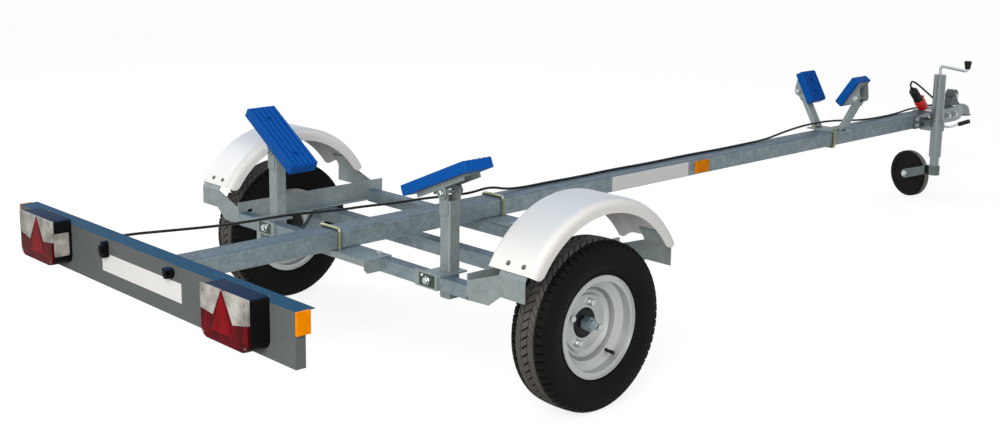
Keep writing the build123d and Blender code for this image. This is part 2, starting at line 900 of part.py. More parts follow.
def jack_outer_tube():
    """Outer tube with a cap on top and a narrowed mouth that guides the leg."""
    radius = jack_tube_diameter / 2
    bore = radius - jack_tube_wall
    mouth = (jack_tube_bottom, jack_tube_bottom + jack_mouth)
    tube = upright_tube(radius, bore, (jack_tube_bottom, jack_tube_top))
    tube += upright_tube(radius, crank_rod / 2 + crank_clearance, (jack_tube_top, jack_tube_top + jack_cap))
    tube += upright_tube(bore + jack_tube_wall / 2, leg_radius + leg_clearance, mouth)
    return tube


def jack_leg():
    return upright_tube(leg_radius, leg_radius - leg_wall, (leg_bottom, jack_tube_bottom + leg_engaged))


def swivelled(shape):
    """Turns the fork or its wheel about the leg, as the jockey wheel stands when the trailer is parked."""
    return Pos(jack_x, jack_y, 0) * Rot(Z=jockey_turn) * Pos(-jack_x, -jack_y, 0) * shape


def jack_fork():
    """Collar on the leg with two side bars back and down to the jockey wheel's pin."""
    bore = leg_radius + fork_bore_clearance
    half = jockey_width / 2 + jockey_side_gap
    rise = fork_bar_height / 2
    low = fork_height - rise
    high = fork_height + rise
    back = jack_y - bore - fork_collar_wall
    fork = upright_tube(bore + fork_collar_wall, bore, (low, high))
    outside = half + fork_bar_thickness
    bridge = block((jack_x - outside, jack_x + outside), (back - fork_bridge, back), (low, high))
    neck = (jack_x - fork_neck / 2, jack_x + fork_neck / 2)
    bridge += block(neck, (back, back + fork_collar_wall), (low, high))
    bridge -= upright_tube(bore, 0, (low - 1, high + 1))
    fork += bridge
    slope = math.atan2(fork_height - jockey_height, back - jockey_y)
    aside = rise * math.sin(slope)
    along = rise * math.cos(slope)
    corners = [
        (back, low),
        (back, high),
        (jockey_y - aside, jockey_height + along),
        (jockey_y + aside, jockey_height - along),
    ]
    for hand in SIDES.values():
        ends = sorted((jack_x + hand * half, jack_x + hand * outside))
        side_plane = Plane(origin=(ends[0], 0, 0), x_dir=(0, 1, 0), z_dir=(1, 0, 0))
        bar = extrude(side_plane * make_face(Polyline(*corners, close=True)), fork_bar_thickness, dir=(1, 0, 0))
        bar += ring_x(rise, 0, ends, (jockey_y, jockey_height))
        fork += bar
    pin = outside + fork_pin_end
    fork += ring_x(jockey_pin / 2, 0, (jack_x - pin, jack_x + pin), (jockey_y, jockey_height))
    return swivelled(fork)


def jockey_wheel():
    """Solid rubber tyre on a plain hub, in one piece."""
    radius = jockey_diameter / 2
    half = jockey_width / 2
    bore = jockey_pin / 2 + fork_bore_clearance
    dish = radius - jockey_tread_depth
    profile = [
        (0, bore),
        (half + jockey_hub_proud, bore),
        (half + jockey_hub_proud, jockey_hub_radius),
        (half - jockey_dish, jockey_hub_radius + jockey_hub_proud),
        (half - jockey_dish, dish - jockey_dish),
        (half, dish),
        (half, radius - jockey_round),
        (half - jockey_round, radius),
        (0, radius),
    ]
    section = make_face(Polyline(*profile, close=True))
    section += mirror(section, about=Plane.YZ)
    return swivelled(Pos(jack_x, jockey_y, jockey_height) * revolve(section, Axis.X))


def jack_crank():
    """Cranked rod out of the tube's cap, turned outwards, with its upright end for the grip."""
    end_x = jack_x + crank_reach
    points = [
        (jack_x, jack_y, jack_tube_top),
        (jack_x, jack_y, crank_stub_top),
        (end_x, jack_y, crank_stub_top - crank_fall),
        (end_x, jack_y, crank_stub_top + crank_rise),
    ]
    return bent_rod(points, crank_bend, crank_rod / 2)


def jack_grips():
    """Tapered knob over the end of the crank and a straight knob over the end of the clamp lever."""
    bore = crank_rod / 2
    length = crank_grip_length
    depth = crank_grip_bore_depth
    profile = [
        (0, bore),
        (0, crank_grip_taper),
        (length - 4, crank_grip_radius),
        (length, crank_grip_radius - 3),
        (length, 0),
        (depth, 0),
        (depth, bore),
    ]
    crank_knob = revolve(make_face(Polyline(*profile, close=True)), Axis.X)
    base = crank_stub_top + crank_rise - depth
    crank_knob = Pos(jack_x + crank_reach, jack_y, base) * Rot(Y=-90) * crank_knob
    start, end = lever_points()[1:]
    along = (end - start).normalized()
    lever_knob = rod(end - along * lever_knob_length, end + along * lever_rod / 2, lever_knob_radius)
    lever_knob -= rod(start, end, lever_rod / 2)
    return group([crank_knob, lever_knob])


def jack_clamp():
    """Plate on the beam's side with a web out to a split ring round the outer tube."""
    radius = jack_tube_diameter / 2
    half = clamp_height / 2
    z_range = (clamp_center_height - half, clamp_center_height + half)
    through = (z_range[0] - 1, z_range[1] + 1)
    side = beam_width / 2
    clamp = upright_tube(radius + clamp_wall, radius, z_range)
    y_range = (jack_y - clamp_plate_rear, jack_y + clamp_plate_front)
    clamp += block((side, side + clamp_wall), y_range, (beam_bottom, beam_top))
    web = block((side + clamp_wall / 2, jack_x), (jack_y - clamp_web_half, jack_y + clamp_web_half), z_range)
    gap = clamp_web_half - clamp_wall
    web -= block((side + clamp_wall, jack_x), (jack_y - gap, jack_y + gap), through)
    web -= upright_tube(radius, 0, through)
    return clamp + web


def lever_points():
    """Corners of the clamp lever's middle line, from the clamp's ring outwards."""
    start = jack_x + jack_tube_diameter / 2 + clamp_wall
    return [
        Vector(start, jack_y, clamp_center_height),
        Vector(start + lever_straight, jack_y, clamp_center_height),
        Vector(start + lever_reach, jack_y, clamp_center_height + lever_rise),
    ]


def clamp_lever():
    return bent_rod(lever_points(), lever_bend, lever_rod / 2)


def coupling_plan(inset):
    """Outline of the coupling head from above, drawn in by inset all round."""
    half = beam_width / 2 + coupling_sheet - inset
    tip = ball_diameter / 2 + socket_clearance + socket_wall + coupling_nose_margin - inset
    taper_y = beam_front + coupling_taper_start
    right = [(half, coupling_rear - inset), (half, taper_y), (tip, ball_y - tip / 3), (tip, ball_y)]
    left = [(-x, y) for x, y in reversed(right)]
    return make_face(Polyline(*right, *left, close=True)) + Pos(0, ball_y) * Circle(tip)


def coupling():
    """Pressed head over the end of the beam, with the ball socket under its nose."""
    top = beam_top + coupling_sheet
    bottom = ball_height - socket_floor
    upwards = (0, 0, 1)
    body = extrude(Pos(0, 0, bottom) * coupling_plan(0), top - bottom, dir=upwards)
    body = fillet(body.faces().sort_by(Axis.Z)[-1].edges(), coupling_edge)
    hollow = Pos(0, 0, bottom - 1) * coupling_plan(coupling_sheet)
    body -= extrude(hollow, top - coupling_sheet - bottom + 1, dir=upwards)
    ball_radius = ball_diameter / 2 + socket_clearance
    seat = Pos(0, ball_y, bottom) * Circle(ball_radius + socket_wall)
    body += extrude(seat, top - socket_roof - bottom, dir=upwards)
    body -= Pos(0, ball_y, ball_height) * Sphere(ball_radius)
    body -= Pos(0, ball_y, ball_height - ball_diameter / 2) * Cylinder(ball_radius, ball_diameter)
    return body


def coupling_handle():
    """Rounded pull handle over the coupling head."""
    top = beam_top + coupling_sheet
    lobe = Pos(ball_y - handle_lobe_back, top + handle_lobe_height) * Circle(handle_lobe_radius)
    corners = [(ball_y - row["back"], top + row["height"]) for row in handle_web]
    web = make_face(Polyline(*corners, close=True))
    return extrude(Plane.YZ * (lobe + web), handle_width / 2, both=True)


def plug_axis():
    """Direction of the plug from its back to its tip."""
    slope = math.radians(plug_slope)
    return Vector(0, math.cos(slope), -math.sin(slope))


def plug_back():
    length = plug_body_length + plug_cap_length
    return Vector(*plug_tip) - plug_axis() * length


def plug():
    """Round plug: a waisted body and a wider cap over its pins."""
    body = plug_body_length
    total = plug_body_length + plug_cap_length
    boss = cable_diameter / 2 + plug_boss_wall
    profile = [
        (0, 0),
        (0, boss),
        (plug_boss_length, boss + plug_chamfer),
        (plug_boss_length + 4, plug_body_radius - plug_chamfer),
        (body - 6, plug_body_radius),
        (body, plug_cap_radius - plug_chamfer),
        (body + plug_chamfer, plug_cap_radius),
        (total - plug_chamfer, plug_cap_radius),
        (total, plug_cap_radius - plug_chamfer),
        (total, 0),
    ]
    shape = revolve(make_face(Polyline(*profile, close=True)), Axis.X)
    frame = Plane(origin=plug_back(), x_dir=plug_axis(), z_dir=(1, 0, 0))
    return frame.location * shape


def cable_gland():
    """Rubber gland in the light board where the cable comes out."""
    return rod(
        (gland_x, board_rear + board_sheet, gland_height),
        (gland_x, board_rear + board_sheet + gland_length, gland_height),
        gland_radius,
    )


def cable():
    """Tube of straight runs and tangent arcs, each arc as large as its two runs allow."""
    points = [Vector(*point) for point in cable_points]
    points += [plug_back() - plug_axis() * cable_exit, plug_back()]
    radii = []
    for before, corner, after in zip(points, points[1:], points[2:]):
        into, out = corner - before, after - corner
        turn = math.radians(into.get_angle(out))
        radii.append(0.45 * min(into.length, out.length) / math.tan(turn / 2))
    path = FilletPolyline(*points, radius=radii)
    print("cable length", round(path.length), "radii", [round(radius) for radius in radii])
    tube = sweep(Plane(origin=path @ 0, z_dir=path % 0) * Circle(cable_diameter / 2), path=path)
    section = math.pi * cable_diameter**2 / 4
    print("cable volume over section times length", round(tube.volume / (section * path.length), 4))
    return tube


def jockey_lowest(angle):
    """Height of the jockey wheel's lowest point over the tyres' floor with the nose down by angle degrees."""
    drop = math.radians(angle)
    turn = math.radians(jockey_turn)
    y = jack_y - jockey_trail * math.cos(turn)
    center = wheel_radius - y * math.sin(drop) + (jockey_height - wheel_radius) * math.cos(drop)
    lean = abs(math.sin(turn) * math.sin(drop))
    half = jockey_width / 2
    radius = jockey_diameter / 2
    edges = [(half, radius - jockey_round), (half - jockey_round, radius)]
    return center - max(x * lean + r * math.sqrt(1 - lean**2) for x, r in edges)


def park_angle():
    """How far the nose drops, in degrees, when tyres and jockey wheel share one floor."""
    low, high = -10.0, 10.0
    for _ in range(60):
        middle = (low + high) / 2
        if jockey_lowest(middle) > 0:
            low = middle
        else:
            high = middle
    return (low + high) / 2


def nodes():
    """Every sub-part by its node's name, level and at its place over the axle."""
    made = {
        "main_beam": main_beam(),
        "cross_tube_rear": cross_tube(-1),
        "cross_tube_front": cross_tube(1),
        "cross_saddles": saddles(),
        "cross_u_bolts": u_bolts(),
        "axle_tube": axle_tube(),
        "axle_arms": axle_arms(),
        "bow_support": bow_support(),
        "bow_u_bolt": bow_u_bolt(),
        "light_board": light_board(),
        "plate_lamps": plate_lamps(),
        "reflectors": reflectors(),
        "jack_outer_tube": jack_outer_tube(),
        "jack_leg": jack_leg(),
        "jack_fork": jack_fork(),
        "jockey_wheel": jockey_wheel(),
        "jack_crank": jack_crank(),
        "jack_grips": jack_grips(),
        "jack_clamp": jack_clamp(),
        "clamp_lever": clamp_lever(),
        "coupling_head": coupling(),
        "coupling_handle": coupling_handle(),
        "cable_gland": cable_gland(),
        "cable": cable(),
        "plug": plug(),
    }
    for side in SIDES:
        made[f"tyre_{side}"] = tyre(side)
        made[f"rim_{side}"] = rim(side)
        made[f"hub_{side}"] = hub(side)
        made[f"side_rail_{side}"] = side_rail(side)
        made[f"mudguard_{side}"] = mudguard(side)
        made[f"guard_brackets_{side}"] = guard_brackets(side)
        made[f"bunk_post_{side}"] = bunk_post(side)
        made[f"post_clamp_{side}"] = post_clamp(side)
        made[f"tail_lamp_{side}"] = tail_lamp(side)
        for end in ("rear", "bow"):
            made[f"{end}_pad_{side}"] = hull_pad(side, end)
            made[f"{end}_pad_channel_{side}"] = pad_channel(side, end)
    return made


def park(shape, shift):
    """Lower the nose about the wheel axis, then move along the trailer."""
    turn = Pos(0, 0, wheel_radius) * Rot(X=-park_angle()) * Pos(0, 0, -wheel_radius)
    return Pos(0, shift, 0) * turn * shape


def row_shift(made):
    """Puts the origin under the middle of the trailer's length."""
    box = group([park(shape, 0) for shape in made.values()]).bounding_box()
    return -(box.min.Y + box.max.Y) / 2


def main():
    os.makedirs("parts", exist_ok=True)
    made = nodes()
    shift = row_shift(made)
    print("park angle", round(park_angle(), 4), "shift", round(shift, 3))
    for name, shape in made.items():
        export_step(park(shape, shift), f"parts/{name}.step")


if __name__ == "__main__":
    main()
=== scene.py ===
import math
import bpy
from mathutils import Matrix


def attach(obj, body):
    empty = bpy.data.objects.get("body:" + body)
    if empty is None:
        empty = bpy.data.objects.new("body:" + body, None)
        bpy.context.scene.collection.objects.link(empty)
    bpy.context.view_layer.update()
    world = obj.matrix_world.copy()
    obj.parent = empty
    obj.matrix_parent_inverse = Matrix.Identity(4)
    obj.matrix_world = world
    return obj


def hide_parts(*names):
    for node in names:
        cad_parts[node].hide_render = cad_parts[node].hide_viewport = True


bl_info = {
    "name": "Boat trailer",
    "version": (1, 0, 0),
    "blender": (4, 5, 0),
    "location": "3D View > Sidebar > Trailer",
    "description": "Dresses the packed trailer: finishes, tyres, lamps, bolts, cable and stage",
    "category": "Object",
}

import bmesh
import bpy
from mathutils import Matrix, Vector

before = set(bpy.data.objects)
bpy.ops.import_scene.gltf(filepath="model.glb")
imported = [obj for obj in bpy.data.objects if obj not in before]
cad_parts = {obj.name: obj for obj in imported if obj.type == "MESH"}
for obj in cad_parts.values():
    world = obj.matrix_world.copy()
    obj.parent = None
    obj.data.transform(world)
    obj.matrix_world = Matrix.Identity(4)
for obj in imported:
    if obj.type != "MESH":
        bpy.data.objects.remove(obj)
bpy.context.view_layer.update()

# The trailer is described level and in millimetres, with its wheel axis over y = 0, and stands
# parked, turned about the wheel axis until the jockey wheel is on the floor.
PARK_TURN = math.radians(-0.964083684)
PARK_SHIFT = -1114.998969
WHEEL_RADIUS = 235.0
HALF_TRACK = 697.5
MM = 0.001
PARK = (
    Matrix.Scale(MM, 4)
    @ Matrix.Translation((0, PARK_SHIFT, WHEEL_RADIUS))
    @ Matrix.Rotation(PARK_TURN, 4, "X")
    @ Matrix.Translation((0, 0, -WHEEL_RADIUS))
)
HANDS = {"left": -1, "right": 1}
# Edges that bend less than this are shaded smooth
SMOOTH_LIMIT = math.radians(35.0)


def linear(hex_colour):
    """A linear colour with alpha from an sRGB hex value."""
    parts = [int(hex_colour[i : i + 2], 16) / 255 for i in (1, 3, 5)]
    lines = [c / 12.92 if c <= 0.04045 else ((c + 0.055) / 1.055) ** 2.4 for c in parts]
    return (*lines, 1.0)


def per_mm(size):
    """Texture scale for a feature of this size in millimetres."""
    return 1000.0 / size


def add(tree, kind, settings=None, inputs=None):
    """Adds one node with its settings; inputs are values, or (node, output name) links."""
    node = tree.nodes.new(kind)
    for key, value in (settings or {}).items():
        setattr(node, key, value)
    for key, value in (inputs or {}).items():
        if isinstance(value, tuple) and isinstance(value[0], bpy.types.Node):
            tree.links.new(value[0].outputs[value[1]], node.inputs[key])
        else:
            node.inputs[key].default_value = value
    return node


def start_material(name):
    """An empty material, its node tree and the place of its patterns."""
    made = bpy.data.materials.new(name)
    made.use_nodes = True
    tree = made.node_tree
    tree.nodes.clear()
    place = add(tree, "ShaderNodeTexCoord")
    return made, tree, (place, "Object")


def end_material(made, inputs):
    """Gives the material its shader and its output, and returns the material."""
    shader = add(made.node_tree, "ShaderNodeBsdfPrincipled", inputs=inputs)
    add(made.node_tree, "ShaderNodeOutputMaterial", inputs={"Surface": (shader, "BSDF")})
    return made


def noise(tree, place, size, detail, rough=0.5):
    """Cloudy noise with features of this size in millimetres."""
    inputs = {"Vector": place, "Scale": per_mm(size), "Detail": detail, "Roughness": rough}
    return add(tree, "ShaderNodeTexNoise", inputs=inputs)


def cells(tree, place, size, randomness):
    """Cells of this size in millimetres, from a square grid to scattered crystals."""
    inputs = {"Vector": place, "Scale": per_mm(size), "Randomness": randomness}
    return add(tree, "ShaderNodeTexVoronoi", inputs=inputs)


def mapped(tree, value, low, high, start=0.0, end=1.0):
    """A value between start and end, mapped to the range from low to high."""
    inputs = {"Value": value, "From Min": start, "From Max": end, "To Min": low, "To Max": high}
    return (add(tree, "ShaderNodeMapRange", inputs=inputs), 0)


def mixed(tree, share, first, second):
    """Two colours mixed by a share of the second."""
    return (add(tree, "ShaderNodeMix", {"data_type": "RGBA"}, {0: share, 6: first, 7: second}), 2)


def painted_sky_share(tree, start, end):
    """How far the surface looks up, from 0 to 1 between two values of its normal's z; this share
    carries a painted sky reflection.
    """
    skin = add(tree, "ShaderNodeNewGeometry")
    way = add(tree, "ShaderNodeSeparateXYZ", inputs={0: (skin, "Normal")})
    return mapped(tree, (way, "Z"), 0.0, 1.0, start, end)


def lifted(tree, colour, value):
    """A colour with its brightness multiplied by a value."""
    return (add(tree, "ShaderNodeHueSaturation", inputs={"Color": colour, "Value": value}), "Color")


def bumped(tree, height, strength, distance):
    """A normal disturbed by a height."""
    inputs = {"Height": height, "Strength": strength, "Distance": distance}
    return (add(tree, "ShaderNodeBump", inputs=inputs), 0)


def seen_directly(tree):
    """1 for camera, glossy and transmission rays, 0 for all others."""
    path = add(tree, "ShaderNodeLightPath")
    total = (path, "Is Camera Ray")
    for ray in ("Is Glossy Ray", "Is Transmission Ray"):
        settings = {"operation": "ADD", "use_clamp": True}
        total = (add(tree, "ShaderNodeMath", settings, {0: total, 1: (path, ray)}), 0)
    return total


def steel_zinc(
    name, side, top, spangle, roughness, blotch=90.0, metallic=0.5, vary=0.2, step=0.0, level=0.5
):
    """Zinc on steel: cloudy, with crystals of slightly different tone, and a painted sky reflection
    in the top colour where it looks up.
    """
    made, tree, place = start_material(name)
    crystals = cells(tree, place, spangle, 1.0)
    tone = add(tree, "ShaderNodeSeparateColor", inputs={"Color": (crystals, "Color")})
    cloud = noise(tree, place, blotch, 6.0, 0.66)
    both = add(
        tree,
        "ShaderNodeMath",
        {"operation": "MULTIPLY_ADD"},
        {0: (tone, "Red"), 1: step, 2: (cloud, "Fac")},
    )
    lift = mapped(tree, (both, 0), 1.0 - vary, 1.0 + vary, 0.3, 0.7 + step)
    # Painted sky reflection: the side colour turns to the top colour on faces that look up
    base = mixed(tree, painted_sky_share(tree, 0.2, 0.9), linear(side), linear(top))
    grain = noise(tree, place, 6.0, 3.0)
    inputs = {
        "Base Color": lifted(tree, base, lift),
        "Roughness": mapped(tree, (tone, "Green"), roughness - 0.06, roughness + 0.08),
        "Metallic": metallic,
        "Specular IOR Level": level,
        "Normal": bumped(tree, (grain, "Fac"), 0.15, 0.0006),
    }
    return end_material(made, inputs)


def smooth_metal(name, colour, roughness, metallic=1.0, uneven=0.1):
    """Smooth plated or silver-painted metal: one tone, a little uneven in brightness and gloss."""
    made, tree, place = start_material(name)
    cloud = (noise(tree, place, 40.0, 4.0), "Fac")
    lift = mapped(tree, cloud, 1.0 - uneven, 1.0 + uneven)
    inputs = {
        "Base Color": lifted(tree, linear(colour), lift),
        "Roughness": mapped(tree, cloud, roughness - 0.05, roughness + 0.07),
        "Metallic": metallic,
    }
    return end_material(made, inputs)


def optics(name, dark, light, cell, patch, roughness=0.25):
    """Moulded lamp or reflector glass: a regular grid of small lenses, brighter in patches."""
    made, tree, place = start_material(name)
    grid = cells(tree, place, cell, 0.0)
    cloud = noise(tree, place, patch, 3.0, 0.6)
    share = mapped(tree, (cloud, "Fac"), 0.0, 1.0, 0.38, 0.66)
    inputs = {
        "Base Color": mixed(tree, share, linear(dark), linear(light)),
        "Roughness": roughness,
        "Specular IOR Level": 0.03,
        "Normal": bumped(tree, (grid, "Distance"), 0.35, cell * MM * 0.3),
    }
    return end_material(made, inputs)


def moulded(
    name,
    colour,
    roughness,
    grain=1.6,
    depth=0.00012,
    uneven=0.06,
    coat=0.0,
    gloss_level=0.4,
    top=None,
):
    """Moulded or painted surface: one colour a little uneven, its own grain, and a painted sky
    reflection in its own top colour on faces that look up.
    """
    made, tree, place = start_material(name)
    cloud = (noise(tree, place, 70.0, 4.0), "Fac")
    lift = mapped(tree, cloud, 1.0 - uneven, 1.0 + uneven)
    base = linear(colour)
    # Painted sky reflection: the top colour on faces that look up, where one is given
    if top:
        base = mixed(tree, painted_sky_share(tree, 0.55, 1.0), base, linear(top))
    skin = noise(tree, place, grain, 2.0)
    inputs = {
        "Base Color": lifted(tree, base, lift),
        "Roughness": mapped(tree, cloud, roughness - 0.05, roughness + 0.07),
        "Specular IOR Level": gloss_level,
        "Coat Weight": coat,
        "Normal": bumped(tree, (skin, "Fac"), 0.35, depth),
    }
    return end_material(made, inputs)


FINISHES = {
    # Hot-dip galvanised tube: blue-grey and cloudy, half dull, with faint crystals, and a darker
    # blue painted sky reflection on the faces that look up
    "galvanised": lambda: steel_zinc(
        "hot_dip_galvanised_steel", "#819197", "#506675", 8.0, 0.5, 45.0, 0.4, 0.34, 0.22
    ),
    # Hot-dip galvanised plate and fittings: lighter than the tubes, with a bluer painted sky
    # reflection on the faces that look up
    "plate": lambda: steel_zinc(
        "galvanised_plate", "#8f9b9d", "#7c8c96", 6.0, 0.5, 50.0, 0.4, 0.22, 0.2
    ),
    # Folded pre-galvanised sheet: even and darker, with a deep blue painted sky reflection on the
    # fold that looks up
    "sheet": lambda: steel_zinc(
        "pre_galvanised_sheet", "#636a6b", "#004668", 5.0, 0.6, 300.0, 0.0, 0.06, level=0.1
    ),
    # Olive passivated U-bolts over a bright plate, with a lighter painted sky reflection on the
    # faces that look up
    "passivated": lambda: steel_zinc(
        "olive_passivated_zinc", "#898b6e", "#a3a58c", 4.0, 0.3, 14.0, 0.8
    ),
    "bright": lambda: smooth_metal("bright_zinc_plate", "#b4bbbd", 0.24, 0.9),
    "jack": lambda: smooth_metal("plated_drawn_tube", "#7d8588", 0.28, 0.95, 0.2),
    "fork": lambda: smooth_metal("dark_plated_fork", "#5d6867", 0.3, 0.9, 0.2),
    "dark_plate": lambda: smooth_metal("green_passivated_plate", "#3c4a42", 0.35, 0.8, 0.25),
    "rim": lambda: smooth_metal("silver_wheel_paint", "#b5babb", 0.34, 0.55, 0.04),
    "hub": lambda: moulded("black_enamel", "#0b0c0d", 0.4, 3.0, 0.0001, 0.1, gloss_level=0.2),
    "pad": lambda: moulded(
        "moulded_blue_polypropylene", "#0056ae", 0.55, 1.2, 0.0001, 0.05, gloss_level=0.12
    ),
    # White mudguards, with a painted bluish-grey sky reflection on the faces that look up
    "guard": lambda: moulded(
        "moulded_white_polyethylene", "#f2f3f3", 0.34, 2.5, 0.0001, 0.02, top="#c6d0d8"
    ),
    "tread": lambda: moulded(
        "tyre_rubber", "#62605e", 0.9, 1.5, 0.0003, 0.25, gloss_level=0.1
    ),
    "wall": lambda: moulded(
        "tyre_wall_rubber", "#0e0f0e", 0.7, 1.5, 0.0002, 0.2, gloss_level=0.1
    ),
    "jockey": lambda: moulded(
        "solid_black_rubber", "#121411", 0.75, 2.0, 0.0003, 0.2, gloss_level=0.12
    ),
    # Lighter grey rubber on the jockey wheel's tread faces than on its sides
    "jockey_tread": lambda: moulded(
        "light_grey_tread_rubber", "#8a8985", 0.85, 2.0, 0.0003, 0.25, gloss_level=0.1
    ),
    # Black housings and clips, with a painted blue sky reflection on the faces that look up
    "black": lambda: moulded(
        "black_abs", "#0c0d0e", 0.6, 1.0, 0.0001, 0.08, gloss_level=0.06, top="#082444"
    ),
    "grip": lambda: moulded(
        "black_pvc_grip", "#0a0a0b", 0.5, 1.4, 0.0001, 0.08, gloss_level=0.25
    ),
    "cable": lambda: moulded(
        "black_pvc_sheath", "#0d0d0f", 0.45, 2.0, 0.00005, 0.08, gloss_level=0.25
    ),
    "cap": lambda: moulded(
        "red_moulded_nylon", "#ee1a26", 0.32, 1.0, 0.00006, 0.05, gloss_level=0.3
    ),
    "handle": lambda: moulded("dark_grey_enamel", "#3c484e", 0.36, 2.0, 0.0001, 0.1, coat=0.2),
    "label": lambda: moulded("white_vinyl_film", "#eef0f3", 0.3, 3.0, 0.00003, 0.01),
    "amber": lambda: optics("amber_reflex_acrylic", "#f58a00", "#ff9a00", 3.0, 30.0),
    "red": lambda: optics("red_lens_acrylic", "#460007", "#70020a", 4.0, 45.0),
    "bright_red": lambda: optics("red_reflex_acrylic", "#76000a", "#900310", 3.0, 30.0),
    "clear": lambda: optics("clear_lens_acrylic", "#858480", "#c6c5c2", 4.0, 60.0),
}
MATERIALS = {}


def finish_named(key):
    """The material of that finish, made at its first use."""
    if key not in MATERIALS:
        MATERIALS[key] = FINISHES[key]()
    return MATERIALS[key]


def put_on(node, key):
    """Gives a CAD node its finish."""
    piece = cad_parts[node]
    piece.data.materials.clear()
    piece.data.materials.append(finish_named(key))


def make_piece(name, mesh, key, body):
    """A piece from a bmesh in level millimetres, moved to its parked place, with its finish."""
    mesh.transform(PARK)
    bmesh.ops.recalc_face_normals(mesh, faces=mesh.faces)
    for face in mesh.faces:
        face.smooth = True
    for edge in mesh.edges:
        edge.smooth = edge.is_manifold and edge.calc_face_angle(0.0) < SMOOTH_LIMIT
    data = bpy.data.meshes.new(name)
    mesh.to_mesh(data)
    mesh.free()
    for each in [key] if isinstance(key, str) else key:
        data.materials.append(finish_named(each))
    piece = bpy.data.objects.new(name, data)
    bpy.context.scene.collection.objects.link(piece)
    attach(piece, body)
    return piece


def turned(mesh, profile, matrix, steps=32):
    """Turns (along, radius) points about the matrix's z axis; a radius of 0 closes an end."""
    angles = [2 * math.pi * step / steps for step in range(steps)]
    rings = []
    for along, radius in profile:
        if radius:
            spots = [Vector((radius * math.cos(a), radius * math.sin(a), along)) for a in angles]
            rings.append([mesh.verts.new(matrix @ spot) for spot in spots])
        else:
            rings.append([mesh.verts.new(matrix @ Vector((0, 0, along)))] * steps)
    faces = []
    for low, high in zip(rings, rings[1:]):
        for step in range(steps):
            after = (step + 1) % steps
            corners = list(dict.fromkeys([low[step], low[after], high[after], high[step]]))
            if len(corners) > 2:
                faces.append(mesh.faces.new(corners))
    return faces


def prism(mesh, outline, depth, matrix):
    """A closed prism from an (x, y) outline at z = 0 up to depth, in the matrix's frame."""
    low = [mesh.verts.new(matrix @ Vector((x, y, 0))) for x, y in outline]
    high = [mesh.verts.new(matrix @ Vector((x, y, depth))) for x, y in outline]
    faces = [mesh.faces.new(low[::-1]), mesh.faces.new(high)]
    for index in range(len(outline)):
        after = (index + 1) % len(outline)
        faces.append(mesh.faces.new([low[index], low[after], high[after], high[index]]))
    return faces


def slab(mesh, low, high):
    """A plain block between two corners."""
    x0, y0, z0 = low
    x1, y1, z1 = high
    outline = [(x0, y0), (x1, y0), (x1, y1), (x0, y1)]
    return prism(mesh, outline, z1 - z0, Matrix.Translation((0, 0, z0)))


def rounded_outline(width, height, radii, steps=5):
    """A rectangle about the origin with round corners, of one radius or of one for each corner."""
    if not isinstance(radii, tuple):
        radii = (radii,) * 4
    points = []
    for quarter, (sx, sy) in enumerate(((1, 1), (-1, 1), (-1, -1), (1, -1))):
        radius = radii[quarter]
        for step in range(steps + 1):
            angle = math.pi / 2 * (quarter + step / steps)
            x = sx * (width / 2 - radius) + radius * math.cos(angle)
            y = sy * (height / 2 - radius) + radius * math.sin(angle)
            points.append((x, y))
    return points


def facing(point, direction):
    """A frame at a point with its z axis along a direction."""
    turn = Vector(direction).to_track_quat("Z", "Y").to_matrix()
    return Matrix.Translation(point) @ turn.to_4x4()


def axes(point, across, above):
    """A frame at a point from its x and y directions."""
    first, second = Vector(across), Vector(above)
    turn = Matrix((first, second, first.cross(second))).transposed()
    return Matrix.Translation(point) @ turn.to_4x4()


def rearward(x, y, z):
    """A frame on a face that looks back: x to the right, y up."""
    return axes((x, y, z), (1, 0, 0), (0, 0, 1))


WASHER_THICKNESS = 1.6
HEAD_CHAMFER = (1.0, 1.4)


def hexagon_head(mesh, point, direction, across=17.0, height=7.0, washer=0.0):
    """A bolt head or nut with a chamfered top, on a washer if its radius is given."""
    spot = facing(point, direction)
    base = 0.0
    if washer:
        base = WASHER_THICKNESS
        turned(mesh, [(0, 0), (0, washer), (base, washer), (base, 0)], spot, 24)
    corner = across / math.sqrt(3)
    down, inward = HEAD_CHAMFER
    top = base + height
    profile = [(base, 0), (base, corner), (top - down, corner), (top, corner - inward), (top, 0)]
    turned(mesh, profile, spot, 6)


def dome_head(mesh, point, direction, radius, height, rim):
    """A round-headed bolt or rivet."""
    profile = [(-1, 0), (-1, radius), (rim, radius)]
    for step in range(1, 4):
        angle = math.pi / 2 * step / 4
        profile.append((rim + (height - rim) * math.sin(angle), radius * math.cos(angle)))
    turned(mesh, profile + [(height, 0)], facing(point, direction), 20)


def arc_through(start, middle, end, count):
    """Points on the circle through three points, without the first."""
    ax, ay = start
    bx, by = middle
    cx, cy = end
    det = 2 * (ax * (by - cy) + bx * (cy - ay) + cx * (ay - by))
    a2, b2, c2 = ax * ax + ay * ay, bx * bx + by * by, cx * cx + cy * cy
    ux = (a2 * (by - cy) + b2 * (cy - ay) + c2 * (ay - by)) / det
    uy = (a2 * (cx - bx) + b2 * (ax - cx) + c2 * (bx - ax)) / det
    radius = math.hypot(ax - ux, ay - uy)
    first = math.atan2(ay - uy, ax - ux)
    half = math.atan2(by - uy, bx - ux)
    last = math.atan2(cy - uy, cx - ux)
    turn = 2 * math.pi
    way = 1 if (half - first) % turn < (last - first) % turn else -1
    sweep = (last - first) % turn if way == 1 else -((first - last) % turn)
    angles = [first + sweep * step / count for step in range(1, count + 1)]
    return [(ux + radius * math.cos(a), uy + radius * math.sin(a)) for a in angles]


